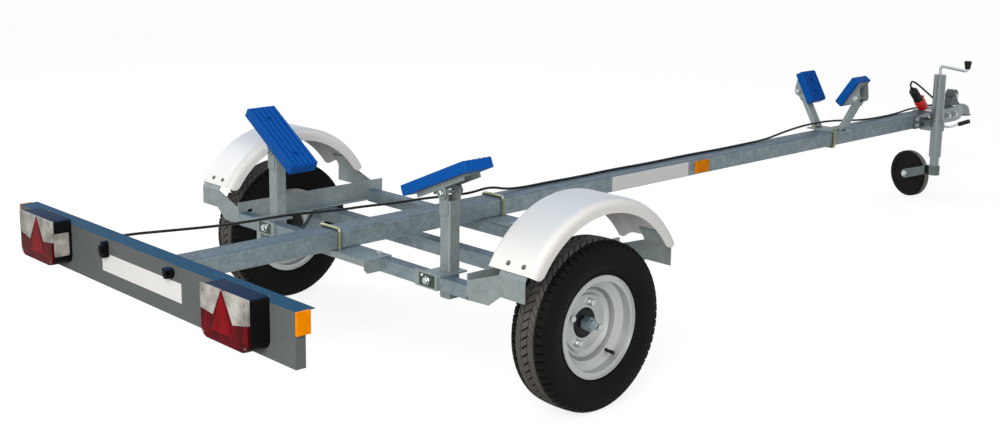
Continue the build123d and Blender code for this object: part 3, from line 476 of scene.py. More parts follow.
# Camera in the level frame: place, turn to the left, look down, roll, focal length and centre
CAMERA_PLACE = (3127.9, -2685.3, 1392.5)
CAMERA_YAW = math.radians(50.68)
CAMERA_PITCH = math.radians(10.40)
CAMERA_ROLL = math.radians(-0.25)
PICTURE_WIDTH, PICTURE_HEIGHT = 1000.0, 424.0
FOCAL_PIXELS = 1399.0
CENTRE_PIXEL = (383.7, 139.6)
SENSOR = 36.0

# Lamps in metres: place, setting that gives the power, share of it, diameter and colour
LAMPS = {
    "key_lamp": ((2.8, -4.9, 2.7), "key_power", 1.0, 3.2, "#fff8ee"),
    "top_lamp": ((-0.4, 0.3, 5.0), "sky_power", 1.0, 4.5, "#b4d2ff"),
    "side_lamp": ((-4.8, -2.0, 2.6), "key_power", 0.35, 3.0, "#ffffff"),
}
LAMP_AIM = Vector((0, -0.3, 0.3))

# The floor in metres: half its side, how far it lies under the wheels, and its own glow
FLOOR_REACH = 14.0
FLOOR_DROP = 0.0006
FLOOR_GLOW = 0.82


class TrailerStage(bpy.types.PropertyGroup):
    """Light and floor round the trailer."""

    floor_colour: bpy.props.FloatVectorProperty(
        name="Floor colour",
        description="Colour of the studio floor",
        subtype="COLOR",
        size=4,
        min=0.0,
        max=1.0,
        default=linear("#8a8a8a"),
    )
    key_power: bpy.props.FloatProperty(
        name="Key light",
        description="Power of the large lamp behind the camera",
        subtype="POWER",
        min=0.0,
        default=205.0,
    )
    sky_power: bpy.props.FloatProperty(
        name="Top light",
        description="Power of the bluish lamp overhead",
        subtype="POWER",
        min=0.0,
        default=30.0,
    )
    ambient: bpy.props.FloatProperty(
        name="Ambient",
        description="Strength of the even light from all round",
        min=0.0,
        max=1.0,
        default=0.36,
    )


class TrailerSizes(bpy.types.PropertyGroup):
    """Sizes of the dressed pieces."""

    tread_pitches: bpy.props.IntProperty(
        name="Tread pitches",
        description="Number of block pitches round a tyre",
        min=20,
        max=120,
        default=62,
    )
    tread_depth: bpy.props.FloatProperty(
        name="Tread depth",
        description="Depth of the grooves in the tyres",
        subtype="DISTANCE",
        min=0.001,
        max=0.012,
        default=0.007,
    )
    cable_diameter: bpy.props.FloatProperty(
        name="Cable diameter",
        description="Outside diameter of the lamp cable",
        subtype="DISTANCE",
        min=0.004,
        max=0.02,
        default=0.008,
    )


# Control points of the lamp cable's line in metres, parked, from the gland to the plug's back
CABLE_ROUTE = [
    (-0.25, -2.045518, 0.449687), (-0.25, -1.96153, 0.448274), (-0.22, -1.836599, 0.443171),
    (-0.189, -1.686687, 0.436648), (-0.17, -1.581668, 0.436881), (-0.148, -1.461601, 0.439861),
    (-0.121, -1.321722, 0.431506), (-0.103, -1.221702, 0.431823), (-0.084, -1.116768, 0.427057),
    (-0.066, -1.021714, 0.429458), (-0.046, -0.921779, 0.424776), (-0.032, -0.849755, 0.425564),
    (-0.026, -0.803635, 0.432289), (-0.022, -0.765649, 0.43115), (-0.018, -0.711876, 0.417243),
    (-0.017, -0.636962, 0.411482), (-0.02, -0.521976, 0.409647), (-0.014, -0.391997, 0.407359),
    (-0.022, -0.212022, 0.404331), (-0.013, -0.01205, 0.400966), (-0.021, 0.187921, 0.397601),
    (-0.014, 0.367896, 0.394572), (-0.018, 0.527873, 0.39188), (-0.016, 0.65788, 0.391192),
    (-0.019, 0.768083, 0.40234), (-0.02, 0.888251, 0.411319), (-0.018, 0.998286, 0.412468),
    (-0.017, 1.08824, 0.408954), (-0.021, 1.198056, 0.397104), (-0.018, 1.307855, 0.384255),
    (-0.022, 1.417752, 0.377205), (-0.021, 1.527737, 0.375354), (-0.03, 1.627734, 0.374371),
    (-0.037, 1.699793, 0.377259), (-0.039, 1.759788, 0.37645), (-0.037, 1.817776, 0.375274),
    (-0.0383, 1.859769, 0.374467), (-0.0383, 1.887765, 0.373996), (-0.0283, 1.901563, 0.373764),
    (-0.0122, 1.906762, 0.373677), (0.004, 1.901588, 0.375264), (0.014, 1.887874, 0.380495),
    (0.015, 1.86008, 0.392965), (0.014, 1.81754, 0.420684), (0.011, 1.771018, 0.449471),
    (0.007, 1.727479, 0.477208), (0.003, 1.695795, 0.496244), (0.001, 1.679423, 0.50402),
    (0.0, 1.666972, 0.50703), (0.0, 1.659001, 0.502864), (0.0, 1.655063, 0.494729),
    (0.0, 1.657362, 0.485251), (0.0, 1.663948, 0.479117),
]

# Tyre section: half widths and radii in millimetres
TREAD_HALF = 38.5
SHOULDER_RADIUS = 20.0
CROWN_DROP = 2.0
BEAD = (43.0, 127.0)
FLANGE_TOP = (43.0, 141.0)
BULGE = (62.5, 181.0)
WALL_TOP = (58.5, 213.0)
SHOULDER = [(57.5, 217.0), (54.0, 219.0)]
GROOVE_FLOOR = (48.0, TREAD_HALF, 26.0, 13.0, 0.0)
# Raised rings on the walls: radius and half width of the tyre there, and the ring's section
WALL_RINGS = ((149.0, 51.6), (204.0, 61.2))
RING_SECTION = ((-1.5, -2.5), (0.6, -1.2), (0.6, 1.2), (-1.5, 2.5))
# Tread blocks: how far they narrow to the top in pitches, and how deep they go into the carcass
BLOCK_INSET = 0.03
BLOCK_ROOT = 1.0
# Rows of tread blocks: inner and outer edge across the tyre, share of the pitch that is block,
# slant in pitches, start of the row in pitches, and material
TREAD_ROWS = [
    {"inner": 33.5, "outer": 56.0, "share": 0.82, "slant": 0.12, "start": 0.0, "rubber": 1},
    {"inner": 13.0, "outer": 30.5, "share": 0.84, "slant": 0.95, "start": 0.3, "rubber": 0},
    {"inner": -9.5, "outer": 9.5, "share": 0.8, "slant": -0.6, "start": 0.1, "rubber": 0},
    {"inner": -30.5, "outer": -13.0, "share": 0.84, "slant": 0.95, "start": 0.55, "rubber": 0},
    {"inner": -56.0, "outer": -33.5, "share": 0.82, "slant": 0.12, "start": 0.5, "rubber": 1},
]


def crown(x):
    """Radius of the tyre's outer surface at x across the tread."""
    reach = abs(x)
    if reach <= TREAD_HALF:
        return WHEEL_RADIUS - CROWN_DROP * (reach / TREAD_HALF) ** 2
    drop = reach - TREAD_HALF
    base = WHEEL_RADIUS - CROWN_DROP - SHOULDER_RADIUS
    return base + math.sqrt(max(SHOULDER_RADIUS**2 - drop**2, 0.0))


def tread_block(mesh, row, start, pitch, depth):
    """One block of a tread row, from its start angle, following the crown across the tyre."""
    inner, outer = row["inner"], row["outer"]
    steps = 4 if max(abs(inner), abs(outer)) > TREAD_HALF else 2
    inset = BLOCK_INSET * pitch
    columns = []
    for step in range(steps + 1):
        t = step / steps
        x = inner + (outer - inner) * t
        near = start + pitch * row["slant"] * t
        column = []
        for angle, move in ((near, inset), (near + pitch * row["share"], -inset)):
            for lift, shift in ((-depth - BLOCK_ROOT, 0.0), (0.0, move)):
                r, a = crown(x) + lift, angle + shift
                column.append(mesh.verts.new((x, r * math.cos(a), r * math.sin(a))))
        columns.append(column)
    made = []
    for before, after in zip(columns, columns[1:]):
        for a, b in ((0, 1), (1, 3), (3, 2)):
            made.append(mesh.faces.new([before[a], before[b], after[b], after[a]]))
    for column in (columns[0], columns[-1]):
        made.append(mesh.faces.new([column[0], column[1], column[3], column[2]]))
    for face in made:
        face.material_index = row["rubber"]


def tyre_mesh(sizes):
    """Tyre about the local x axis: a grooved carcass with its tread blocks, bead to bead."""
    mesh = bmesh.new()
    depth = sizes.tread_depth / MM
    outline = [BEAD, FLANGE_TOP, *arc_through(FLANGE_TOP, BULGE, WALL_TOP, 12), *SHOULDER]
    outline += [(x, crown(x) - depth) for x in GROOVE_FLOOR]
    mirrored = [(-x, r) for x, r in outline[-2::-1]]
    spin = Matrix.Rotation(math.pi / 2, 4, "Y")
    turned(mesh, outline + mirrored + [BEAD], spin, 128)
    for hand in HANDS.values():
        for radius, x in WALL_RINGS:
            ring = [(hand * (x + out), radius + up) for out, up in RING_SECTION]
            turned(mesh, ring, spin, 96)
    for face in mesh.faces:
        face.material_index = 1
    pitch = 2 * math.pi / sizes.tread_pitches
    for row in TREAD_ROWS:
        for index in range(sizes.tread_pitches):
            tread_block(mesh, row, pitch * (index + row["start"]), pitch, depth)
    return mesh


class TRAILER_OT_stage(bpy.types.Operator):
    """Add the camera, the lamps, the pale floor and the even light round the trailer"""

    bl_idname = "trailer.stage"
    bl_label = "Stage"

    def execute(self, context):
        stage = context.scene.trailer_stage
        scene = context.scene
        scene.view_settings.view_transform = "Standard"
        self.add_camera(scene)
        self.add_world(scene, stage)
        self.add_lamps(scene, stage)
        self.add_floor(scene, stage)
        return {"FINISHED"}

    def add_camera(self, scene):
        data = bpy.data.cameras.new("camera")
        data.sensor_width = SENSOR
        data.lens = FOCAL_PIXELS / PICTURE_WIDTH * SENSOR
        data.shift_x = (PICTURE_WIDTH / 2 - CENTRE_PIXEL[0]) / PICTURE_WIDTH
        data.shift_y = (CENTRE_PIXEL[1] - PICTURE_HEIGHT / 2) / PICTURE_WIDTH
        data.clip_start = 0.05
        data.clip_end = 100.0
        camera = bpy.data.objects.new("camera", data)
        scene.collection.objects.link(camera)
        level = math.cos(CAMERA_PITCH)
        ahead = Vector(
            (
                -math.sin(CAMERA_YAW) * level,
                math.cos(CAMERA_YAW) * level,
                -math.sin(CAMERA_PITCH),
            )
        )
        across = Vector((math.cos(CAMERA_YAW), math.sin(CAMERA_YAW), 0.0))
        above = across.cross(ahead)
        right = math.cos(CAMERA_ROLL) * across + math.sin(CAMERA_ROLL) * above
        top = -math.sin(CAMERA_ROLL) * across + math.cos(CAMERA_ROLL) * above
        turn = Matrix((right, top, -ahead)).transposed()
        turn = Matrix.Rotation(PARK_TURN, 3, "X") @ turn
        camera.matrix_world = Matrix.Translation(PARK @ Vector(CAMERA_PLACE)) @ turn.to_4x4()
        scene.camera = camera

    def add_world(self, scene, stage):
        world = bpy.data.worlds.new("studio")
        scene.world = world
        world.use_nodes = True
        tree = world.node_tree
        tree.nodes.clear()
        strength = mapped(tree, seen_directly(tree), stage.ambient, 1.0)
        inputs = {"Color": linear("#fdfdfd"), "Strength": strength}
        even = add(tree, "ShaderNodeBackground", inputs=inputs)
        add(tree, "ShaderNodeOutputWorld", inputs={"Surface": (even, 0)})

    def add_lamps(self, scene, stage):
        for name, (spot, setting, share, size, colour) in LAMPS.items():
            light = bpy.data.lights.new(name, "AREA")
            light.shape = "DISK"
            light.size = size
            light.energy = getattr(stage, setting) * share
            light.color = linear(colour)[:3]
            lamp = bpy.data.objects.new(name, light)
            lamp.location = spot
            lamp.rotation_euler = (LAMP_AIM - Vector(spot)).to_track_quat("-Z", "Y").to_euler()
            scene.collection.objects.link(lamp)

    def add_floor(self, scene, stage):
        mesh = bmesh.new()
        corners = ((-1, -1), (1, -1), (1, 1), (-1, 1))
        spots = [(FLOOR_REACH * x, FLOOR_REACH * y, 0) for x, y in corners]
        mesh.faces.new([mesh.verts.new(spot) for spot in spots])
        data = bpy.data.meshes.new("studio_floor")
        mesh.to_mesh(data)
        mesh.free()
        made, tree, _ = start_material("painted_studio_floor")
        settings = {"operation": "MULTIPLY"}
        glow = add(tree, "ShaderNodeMath", settings, {0: seen_directly(tree), 1: FLOOR_GLOW})
        inputs = {
            "Base Color": tuple(stage.floor_colour),
            "Roughness": 0.9,
            "Emission Color": (1.0, 1.0, 1.0, 1.0),
            "Emission Strength": (glow, 0),
        }
        data.materials.append(end_material(made, inputs))
        floor = bpy.data.objects.new("studio_floor", data)
        floor.location.z = -FLOOR_DROP
        scene.collection.objects.link(floor)


class TRAILER_OT_cable(bpy.types.Operator):
    """Lay the lamp cable along the beam and back to its plug"""

    bl_idname = "trailer.cable"
    bl_label = "Lamp cable"

    def execute(self, context):
        sizes = context.scene.trailer_sizes
        data = bpy.data.curves.new("lamp_cable", "CURVE")
        data.dimensions = "3D"
        data.bevel_depth = sizes.cable_diameter / 2
        data.bevel_resolution = 3
        data.resolution_u = 6
        data.use_fill_caps = True
        line = data.splines.new("NURBS")
        line.points.add(len(CABLE_ROUTE) - 1)
        for point, spot in zip(line.points, CABLE_ROUTE):
            point.co = (*spot, 1.0)
        line.order_u = 3
        line.use_endpoint_u = True
        data.materials.append(finish_named("cable"))
        cable = bpy.data.objects.new("lamp_cable", data)
        context.scene.collection.objects.link(cable)
        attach(cable, "frame")
        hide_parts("cable")
        put_on("cable_gland", "grip")
        return {"FINISHED"}


# CAD nodes that show as they are, by finish; a name that ends in _ is there left and right
NODE_FINISHES = {
    "galvanised": "main_beam cross_tube_rear cross_tube_front axle_tube axle_arms",
    "plate": "cross_saddles side_rail_ guard_brackets_ bunk_post_ post_clamp_ bow_support"
    " rear_pad_channel_ bow_pad_channel_",
    "passivated": "cross_u_bolts bow_u_bolt",
    "sheet": "light_board",
    "amber": "reflectors",
    "jack": "jack_outer_tube jack_leg jack_clamp",
    "fork": "jack_fork",
    "bright": "jack_crank clamp_lever",
    "grip": "jack_grips",
    "jockey": "jockey_wheel",
    "rim": "rim_",
    "hub": "hub_",
    "guard": "mudguard_",
    "pad": "rear_pad_ bow_pad_",
}
JOCKEY_CENTRE = Vector((-23.434, 2843.682, 146.0))
JOCKEY_AXLE = Vector((-0.258819, -0.965926, 0.0))
# The jockey wheel's tread: largest part of a face's normal along the axle, least area in m2
TREAD_SIDEWAYS = 0.5
TREAD_FACE = 4e-6


class TRAILER_OT_finishes(bpy.types.Operator):
    """Give every CAD piece that shows its own finish"""

    bl_idname = "trailer.finishes"
    bl_label = "Finishes"

    def execute(self, context):
        for key, nodes in NODE_FINISHES.items():
            for node in nodes.split():
                for end in HANDS if node.endswith("_") else ("",):
                    put_on(node + end, key)
        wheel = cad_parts["jockey_wheel"].data
        wheel.materials.append(finish_named("jockey_tread"))
        axle = (PARK.to_3x3() @ JOCKEY_AXLE).normalized()
        for face in wheel.polygons:
            sideways = abs(face.normal.dot(axle))
            face.material_index = int(sideways < TREAD_SIDEWAYS and face.area > TREAD_FACE)
        return {"FINISHED"}


class TRAILER_OT_tyres(bpy.types.Operator):
    """Build the two road tyres with their tread blocks"""

    bl_idname = "trailer.tyres"
    bl_label = "Tyres"

    def execute(self, context):
        keys = ("tread", "wall")
        for side, hand in HANDS.items():
            mesh = tyre_mesh(context.scene.trailer_sizes)
            mesh.transform(Matrix.Translation((hand * HALF_TRACK, 0, WHEEL_RADIUS)))
            tyre = make_piece(f"road_tyre_{side}", mesh, keys, f"wheel_{side}")
            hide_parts(f"tyre_{side}")
        return {"FINISHED"}


BOARD_REAR = -950.0
LAMP_CENTRES = {"left": -471.0, "right": 499.0}
LAMP_WIDTH, LAMP_HEIGHT = 198.0, 128.0
LAMP_MIDDLE = 407.0
LAMP_DEPTH = 62.0
LAMP_CORNERS = (7.0, 7.0, 26.0, 26.0)
LENS_BACK = 7.0
LENS_DEPTH = 6.0
# Finishes of a lens, in the order of its material slots
LENS_KEYS = ["red", "clear", "bright_red", "fork"]
# Zones of the right lamp's lens from behind: shares of its width from the left and of its height
# from the top, where the zone starts before the lamp's front, and its depth
LENS_ZONES = [
    ("clear", [(-0.004, -0.006), (0.445, -0.006), (0.27, 0.5), (-0.004, 0.455)], 7.0, 6.5),
    ("clear", [(0.475, -0.006), (1.004, -0.006), (1.004, 0.46), (0.69, 0.555)], 7.0, 6.5),
    ("bright_red", [(0.46, 0.01), (0.68, 0.8), (0.25, 0.8)], 1.2, 0.9),
]
# How much smaller the lens is than the housing
LENS_PLAY = 1.0
# Screws of a lens: shares of width and height, depth of their seat, and radius, height and rim
LENS_SCREWS = ((0.06, 0.1), (0.94, 0.1), (0.94, 0.36), (0.06, 0.9), (0.94, 0.9))
LENS_SCREW_SEAT = 0.9
LENS_SCREW_HEAD = (3.2, 1.4, 0.4)
# Clear window in the left lamp's inner side: outline, thickness, place behind the board, drop
WINDOW_OUTLINE = rounded_outline(46.0, 66.0, 5.0)
WINDOW_DEPTH = 0.8
WINDOW_BEHIND = 32.0
WINDOW_DROP = 4.0


class TRAILER_OT_tail_lamps(bpy.types.Operator):
    """Build the two tail lamps: black housing, lens with its zones, screws and side window"""

    bl_idname = "trailer.tail_lamps"
    bl_label = "Tail lamps"

    def execute(self, context):
        front = BOARD_REAR - LAMP_DEPTH
        for side, hand in HANDS.items():
            centre = LAMP_CENTRES[side]
            mesh = bmesh.new()
            shell = rounded_outline(LAMP_WIDTH, LAMP_HEIGHT, LAMP_CORNERS, 6)
            prism(mesh, shell, LAMP_DEPTH - LENS_BACK, rearward(centre, BOARD_REAR, LAMP_MIDDLE))
            housing = make_piece(f"lamp_housing_{side}", mesh, "black", "frame")
            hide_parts(f"tail_lamp_{side}")

            mesh = bmesh.new()
            size = (LAMP_WIDTH - LENS_PLAY, LAMP_HEIGHT - LENS_PLAY)
            shell = rounded_outline(*size, LAMP_CORNERS, 6)
            prism(mesh, shell, LENS_DEPTH, rearward(centre, front + LENS_BACK, LAMP_MIDDLE))
            for key, zone, back, depth in LENS_ZONES:
                shares = zone if hand > 0 else [(1.0 - u, v) for u, v in zone]
                corners = [((u - 0.5) * LAMP_WIDTH, (0.5 - v) * LAMP_HEIGHT) for u, v in shares]
                if hand > 0:
                    corners.reverse()
                spot = rearward(centre, front + back, LAMP_MIDDLE)
                for face in prism(mesh, corners, depth, spot):
                    face.material_index = LENS_KEYS.index(key)
            before = set(mesh.faces)
            for u, v in LENS_SCREWS:
                x = centre + (u - 0.5) * LAMP_WIDTH
                z = LAMP_MIDDLE + (0.5 - v) * LAMP_HEIGHT
                dome_head(mesh, (x, front + LENS_SCREW_SEAT, z), (0, -1, 0), *LENS_SCREW_HEAD)
            for face in set(mesh.faces) - before:
                face.material_index = LENS_KEYS.index("fork")
            if side == "left":
                point = (centre + LAMP_WIDTH / 2, BOARD_REAR - WINDOW_BEHIND)
                spot = axes((*point, LAMP_MIDDLE - WINDOW_DROP), (0, 1, 0), (0, 0, 1))
                for face in prism(mesh, WINDOW_OUTLINE, WINDOW_DEPTH, spot):
                    face.material_index = LENS_KEYS.index("clear")
            make_piece(f"lamp_lens_{side}", mesh, LENS_KEYS, "frame")
        return {"FINISHED"}


# Blank vinyl labels: low and high corner in millimetres
LABELS = {
    "board_label": ((-195.0, -950.4, 363.0), (213.0, -949.9, 414.0)),
    "beam_label": ((39.9, 842.0, 362.5), (40.4, 1245.0, 411.5)),
}


class TRAILER_OT_labels(bpy.types.Operator):
    """Put the blank labels on the light board and on the beam"""

    bl_idname = "trailer.labels"
    bl_label = "Labels"

    def execute(self, context):
        for name, (low, high) in LABELS.items():
            mesh = bmesh.new()
            slab(mesh, low, high)
            make_piece(name, mesh, "label", "frame")
        return {"FINISHED"}


PLUG_TIP = Vector((0.0, 2877.0, 433.5))
PLUG_SLOPE = math.radians(42.0)
PLUG_LENGTH = 138.0
# Distance from the plug's back and radius: cable guard, one rib of the body, body's end and cap
PLUG_NECK = [(0, 0), (0, 6.6), (5, 7.2), (12, 8.4), (17, 15.5), (20, 17.5)]
PLUG_RIB = ((0.0, 18.4), (3.0, 18.4), (4.2, 17.2), (6.8, 17.2))
PLUG_RIB_STARTS = (24, 32, 40, 48, 56, 64)
PLUG_END = [(76, 18.8), (82, 20.0), (82, 0)]
CAP_PROFILE = [(80, 0), (80, 19.0), (82, 21.5), (96, 22.2), (97, 23.5), (103, 23.5), (104, 22.0)]
CAP_PROFILE += [(118, 22.0), (134, 22.4), (137, 20.5), (138, 18.0), (138, 0)]
HINGE_PLACE = (0, -24.5, 92.0)
HINGE_PROFILE = [(-10, 0), (-10, 5), (10, 5), (10, 0)]


class TRAILER_OT_plug(bpy.types.Operator):
    """Build the cable's plug: ribbed black body and red cap with its hinge"""

    bl_idname = "trailer.plug"
    bl_label = "Plug"

    def execute(self, context):
        along = Vector((0, math.cos(PLUG_SLOPE), -math.sin(PLUG_SLOPE)))
        across = Vector((1, 0, 0))
        spot = axes(PLUG_TIP - along * PLUG_LENGTH, across, along.cross(across))
        mesh = bmesh.new()
        ribs = [(start + way, radius) for start in PLUG_RIB_STARTS for way, radius in PLUG_RIB]
        turned(mesh, PLUG_NECK + ribs + PLUG_END, spot, 40)
        before = set(mesh.faces)
        turned(mesh, CAP_PROFILE, spot, 48)
        hinge = Matrix.Translation(HINGE_PLACE) @ Matrix.Rotation(math.pi / 2, 4, "Y")
        turned(mesh, HINGE_PROFILE, spot @ hinge, 16)
        for face in set(mesh.faces) - before:
            face.material_index = 1
        plug = make_piece("lamp_plug", mesh, ["grip", "cap"], "frame")
        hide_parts("plug")
        return {"FINISHED"}


BOLT_CIRCLE = 57.5
BOLT_TURN = 67.0
BOLT_CONE = [(-2, 0), (-2, 8), (0, 11.5), (3, 11.5), (3, 0)]
BOLT_HEAD = (17.0, 9.0)
BOLTS_PER_WHEEL = 4
# How far the disc's face lies inside the tyre's middle plane
DISC_FACE = 6.0
VALVE_CIRCLE = 108.0
VALVE_TURN = math.radians(-52)
VALVE_LEAN = 0.1
VALVE_OUT = 10
VALVE_STEM = [(0, 0), (0, 7), (6, 6), (14, 4.2), (24, 4.0), (24, 5.0), (36, 5.0), (36, 0)]


class TRAILER_OT_wheel_bolts(bpy.types.Operator):
    """Add the wheel bolts and the tyre valves"""

    bl_idname = "trailer.wheel_bolts"
    bl_label = "Wheel bolts"

    def execute(self, context):
        for side, hand in HANDS.items():
            body = f"wheel_{side}"
            face = hand * (HALF_TRACK - DISC_FACE)
            out = (hand, 0, 0)
            mesh = bmesh.new()
            for index in range(BOLTS_PER_WHEEL):
                angle = math.radians(BOLT_TURN + 360 / BOLTS_PER_WHEEL * index)
                y = BOLT_CIRCLE * math.cos(angle)
                z = WHEEL_RADIUS + BOLT_CIRCLE * math.sin(angle)
                turned(mesh, BOLT_CONE, facing((face, y, z), out), 24)
                hexagon_head(mesh, (face + hand * BOLT_CONE[-1][0], y, z), out, *BOLT_HEAD)
            make_piece(f"wheel_bolts_{side}", mesh, "bright", body)
            mesh = bmesh.new()
            way = Vector((0, math.cos(VALVE_TURN), math.sin(VALVE_TURN)))
            spot = Vector((face + hand * VALVE_OUT, 0, WHEEL_RADIUS)) + way * VALVE_CIRCLE
            turned(mesh, VALVE_STEM, facing(spot, Vector(out) + way * VALVE_LEAN), 16)
            make_piece(f"tyre_valve_{side}", mesh, "grip", body)
        return {"FINISHED"}


# Blocks of the two clips from behind: width, height, corner, depth, and middle across and up
CLIP_BLOCKS = [
    (22.0, 46.0, 10.0, 14.0, -168, 427),
    (14.0, 22.0, 5.0, 24.0, -165, 430),
    (26.0, 10.0, 4.0, 17.0, -167, 412),
    (40.0, 18.0, 7.0, 13.0, 163, 436),
    (20.0, 26.0, 6.0, 20.0, 168, 434),
    (12.0, 12.0, 3.0, 25.0, 172, 437),
]


class TRAILER_OT_plate_lamps(bpy.types.Operator):
    """Build the two black clips under the light board's top edge"""

    bl_idname = "trailer.plate_lamps"
    bl_label = "Number plate clips"

    def execute(self, context):
        mesh = bmesh.new()
        for width, height, corner, depth, x, z in CLIP_BLOCKS:
            outline = rounded_outline(width, height, corner)
            prism(mesh, outline, depth, rearward(x, BOARD_REAR, z))
        clips = make_piece("plate_clips", mesh, "black", "frame")
        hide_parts("plate_lamps")
        return {"FINISHED"}


GUARD_RADIUS = 324.0
GUARD_MIDDLE = 263.0
# Each mudguard's bolts: places out from the trailer's middle, height, collar
GUARD_BOLTS = {"left": (651.0, 703.0), "right": (674.0, 729.0)}
GUARD_BOLT_HEIGHT = 444.0
GUARD_COLLAR = [(-1, 0), (-1, 7), (1.2, 7), (1.2, 0)]
# Radius, height and rim of the round heads
GUARD_BOLT_HEAD = (5.0, 3.5, 1.0)
BOARD_SCREW_HEAD = (3.5, 2.0, 0.6)
# Screws of the light board: place and direction
BOARD_SCREWS = [
    ((-520.0, -950.0, 448.0), (0, -1, 0)),
    ((-330.0, -950.0, 440.0), (0, -1, 0)),
    ((655.0, -950.0, 392.0), (0, -1, 0)),
    ((640.0, -950.0, 352.0), (0, -1, 0)),
    ((560.0, -925.0, 457.0), (0, 0, 1)),
    ((-560.0, -925.0, 457.0), (0, 0, 1)),
]
# Bolts there left and right: place, direction, size across, height, washer's radius
PAIRED_BOLTS = [
    ((150, -264, 359), (0, 0, 1), 15.0, 6.0, 10.0),
    ((150, 264, 359), (0, 0, 1), 15.0, 6.0, 10.0),
    ((403, -257, 577), (0, -1, 0), 17.0, 7.0, 10.5),
    ((403, -191, 577), (0, 1, 0), 17.0, 7.0, 10.5),
    ((130, 2143, 559), (0, -1, 0), 17.0, 7.0, 10.5),
    ((130, 2209, 559), (0, 1, 0), 17.0, 7.0, 10.5),
    ((383, -289.4, 338), (0, -1, 0), 17.0, 8.0, 12.0),
    ((365, -289.4, 350), (0, -1, 0), 8.0, 4.0, 0.0),
]
# Bolts of the jack's clamp on the beam's right side; size across, height and washer's radius
CLAMP_BOLTS = [(46, 2755, 400), (46, 2838, 400), (46, 2755, 374)]
CLAMP_BOLT_SIZES = (15.0, 7.0, 9.5)
# Dark plate on each post's clamp: low and high corner on the right side
CLAMP_PLATE = ((352, -289.6, 321), (414, -288.5, 355))
# Jockey wheel's bolt: half its length, and size across, height and washer's radius
FORK_HALF = 30.0
FORK_BOLT_SIZES = (19.0, 8.0, 13.0)


class TRAILER_OT_small_bolts(bpy.types.Operator):
    """Add the bolts of the mudguards, the frame, the pads and the fork, and the board's screws"""

    bl_idname = "trailer.small_bolts"
    bl_label = "Small bolts"

    def execute(self, context):
        mesh = bmesh.new()
        rise = GUARD_BOLT_HEIGHT - GUARD_MIDDLE
        for side, hand in HANDS.items():
            for x in GUARD_BOLTS[side]:
                for end in (-1, 1):
                    out = Vector((0, end * math.sqrt(GUARD_RADIUS**2 - rise**2), rise))
                    spot = Vector((hand * x, out.y, GUARD_BOLT_HEIGHT))
                    turned(mesh, GUARD_COLLAR, facing(spot, out), 20)
                    dome_head(mesh, spot + out.normalized(), out, *GUARD_BOLT_HEAD)
        for spot, way in BOARD_SCREWS:
            dome_head(mesh, spot, way, *BOARD_SCREW_HEAD)
        make_piece("guard_bolts", mesh, "fork", "frame")

        mesh = bmesh.new()
        for hand in HANDS.values():
            for (x, y, z), way, *sizes in PAIRED_BOLTS:
                hexagon_head(mesh, (hand * x, y, z), way, *sizes)
        for spot in CLAMP_BOLTS:
            hexagon_head(mesh, spot, (1, 0, 0), *CLAMP_BOLT_SIZES)
        make_piece("small_bolts", mesh, "bright", "frame")

        mesh = bmesh.new()
        (inner, y0, z0), (outer, y1, z1) = CLAMP_PLATE
        for hand in HANDS.values():
            x0, x1 = sorted((hand * inner, hand * outer))
            slab(mesh, (x0, y0, z0), (x1, y1, z1))
        make_piece("clamp_plates", mesh, "dark_plate", "frame")

        mesh = bmesh.new()
        for way in (-JOCKEY_AXLE, JOCKEY_AXLE):
            hexagon_head(mesh, JOCKEY_CENTRE + way * FORK_HALF, way, *FORK_BOLT_SIZES)
        make_piece("fork_bolt", mesh, "bright", "jack_fork")
        return {"FINISHED"}


# Sections of the coupling's body: place along the trailer, half width, bottom and top
COUPLING_SECTIONS = [
    (2870.0, 44.0, 355.0, 419.0),
    (3084.0, 44.0, 355.0, 419.0),
    (3120.0, 41.0, 359.0, 414.0),
    (3158.0, 31.0, 366.0, 402.0),
    (3180.0, 30.0, 367.0, 398.0),
]
COUPLING_CORNER = 7.0
# Bell over the ball, outside and inside: height and radius about the ball's middle
BALL_PLACE = Matrix.Translation((0, 3203, 0))
BELL_OUTSIDE = [(366, 26), (366, 41), (370, 41), (371, 35.5), (384, 34.5), (398, 31), (408, 24)]
BELL_OUTSIDE += [(414, 13), (416, 0)]
BELL_INSIDE = [(366, 26), (395, 24.5), (407, 14), (410, 0)]
# Handle from the side: its lobe's middle, radius, points and angles, its foot, its half width
LOBE_MIDDLE = (3111, 463)
LOBE_RADIUS = 26
LOBE_POINTS = 20
LOBE_ANGLES = (math.pi * 1.12, math.pi * -0.12)
HANDLE_FOOT = [(3131, 446), (3142, 430), (3160, 419), (3078, 419), (3080, 436)]
HANDLE_HALF = 17
# Bolts of the coupling on both sides: place, size across, height, washer's radius
COUPLING_BOLTS = [
    ((17, 3111, 463), 17.0, 8.0, 11.0),
    ((44, 3010, 388), 19.0, 9.0, 14.0),
    ((44, 3066, 388), 19.0, 9.0, 14.0),
]


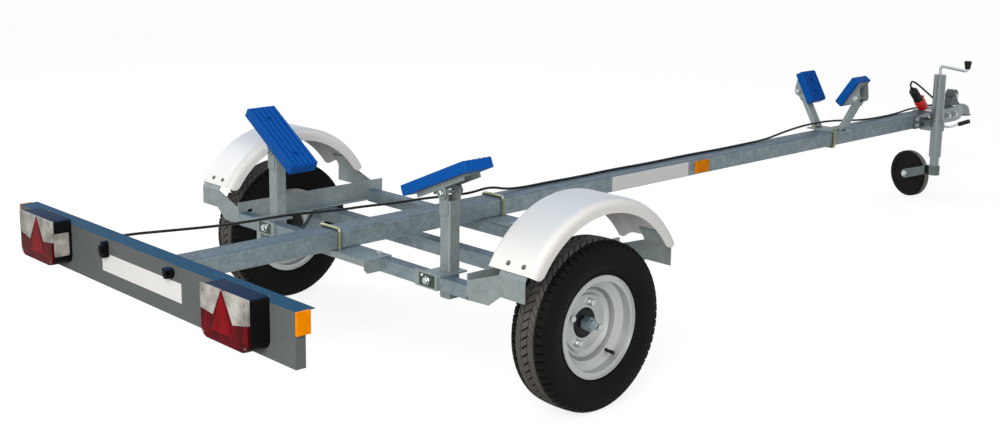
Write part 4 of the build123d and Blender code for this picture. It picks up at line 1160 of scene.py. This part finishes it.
class TRAILER_OT_coupling(bpy.types.Operator):
    """Build the coupling's handle with its round lobe, its nose over the ball and its bolts"""

    bl_idname = "trailer.coupling"
    bl_label = "Coupling"

    def execute(self, context):
        mesh = bmesh.new()
        y, z = LOBE_MIDDLE
        first, last = LOBE_ANGLES
        step = (last - first) / (LOBE_POINTS - 1)
        angles = [first + step * index for index in range(LOBE_POINTS)]
        lobe = [(y + LOBE_RADIUS * math.cos(a), z + LOBE_RADIUS * math.sin(a)) for a in angles]
        side_frame = axes((-HANDLE_HALF, 0, 0), (0, 1, 0), (0, 0, 1))
        prism(mesh, (lobe + HANDLE_FOOT)[::-1], 2.0 * HANDLE_HALF, side_frame)
        handle = make_piece("coupling_grip", mesh, "handle", "frame")
        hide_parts("coupling_handle")

        mesh = bmesh.new()
        rings = []
        for y, half, low, high in COUPLING_SECTIONS:
            outline = rounded_outline(2 * half, high - low, COUPLING_CORNER, 4)
            rings.append([mesh.verts.new((x, y, (low + high) / 2 + z)) for x, z in outline])
        for before, after in zip(rings, rings[1:]):
            for index in range(len(before)):
                far = (index + 1) % len(before)
                mesh.faces.new([before[index], before[far], after[far], after[index]])
        mesh.faces.new(rings[0])
        mesh.faces.new(rings[-1])
        turned(mesh, BELL_OUTSIDE, BALL_PLACE, 40)
        turned(mesh, BELL_INSIDE, BALL_PLACE, 40)
        head = make_piece("coupling_shell", mesh, "jack", "frame")
        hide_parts("coupling_head")

        mesh = bmesh.new()
        for hand in HANDS.values():
            for (x, y, z), *sizes in COUPLING_BOLTS:
                hexagon_head(mesh, (hand * x, y, z), (hand, 0, 0), *sizes)
        make_piece("coupling_bolts", mesh, "bright", "frame")
        return {"FINISHED"}


class TRAILER_PT_panel(bpy.types.Panel):
    """Lists the trailer's sizes, colours and pieces"""

    bl_label = "Boat trailer"
    bl_idname = "TRAILER_PT_panel"
    bl_space_type = "VIEW_3D"
    bl_region_type = "UI"
    bl_category = "Trailer"

    def draw(self, context):
        for group in (context.scene.trailer_stage, context.scene.trailer_sizes):
            box = self.layout.box()
            for key in group.__annotations__:
                box.prop(group, key)
        for operator in PIECES:
            self.layout.operator(operator.bl_idname)


PIECES = (
    TRAILER_OT_stage,
    TRAILER_OT_plug,
    TRAILER_OT_cable,
    TRAILER_OT_finishes,
    TRAILER_OT_tyres,
    TRAILER_OT_tail_lamps,
    TRAILER_OT_labels,
    TRAILER_OT_wheel_bolts,
    TRAILER_OT_plate_lamps,
    TRAILER_OT_small_bolts,
    TRAILER_OT_coupling,
)
CLASSES = (TrailerStage, TrailerSizes, *PIECES, TRAILER_PT_panel)


def register():
    """Registers the classes and gives the scene their settings."""
    for each in CLASSES:
        bpy.utils.register_class(each)
    bpy.types.Scene.trailer_stage = bpy.props.PointerProperty(type=TrailerStage)
    bpy.types.Scene.trailer_sizes = bpy.props.PointerProperty(type=TrailerSizes)


def unregister():
    """Takes the settings and the classes away again."""
    del bpy.types.Scene.trailer_sizes
    del bpy.types.Scene.trailer_stage
    for each in reversed(CLASSES):
        bpy.utils.unregister_class(each)


def main():
    """Registers the classes and builds the whole trailer."""
    register()
    for operator in PIECES:
        group, name = operator.bl_idname.split(".")
        getattr(getattr(bpy.ops, group), name)()


if __name__ == "__main__":
    main()
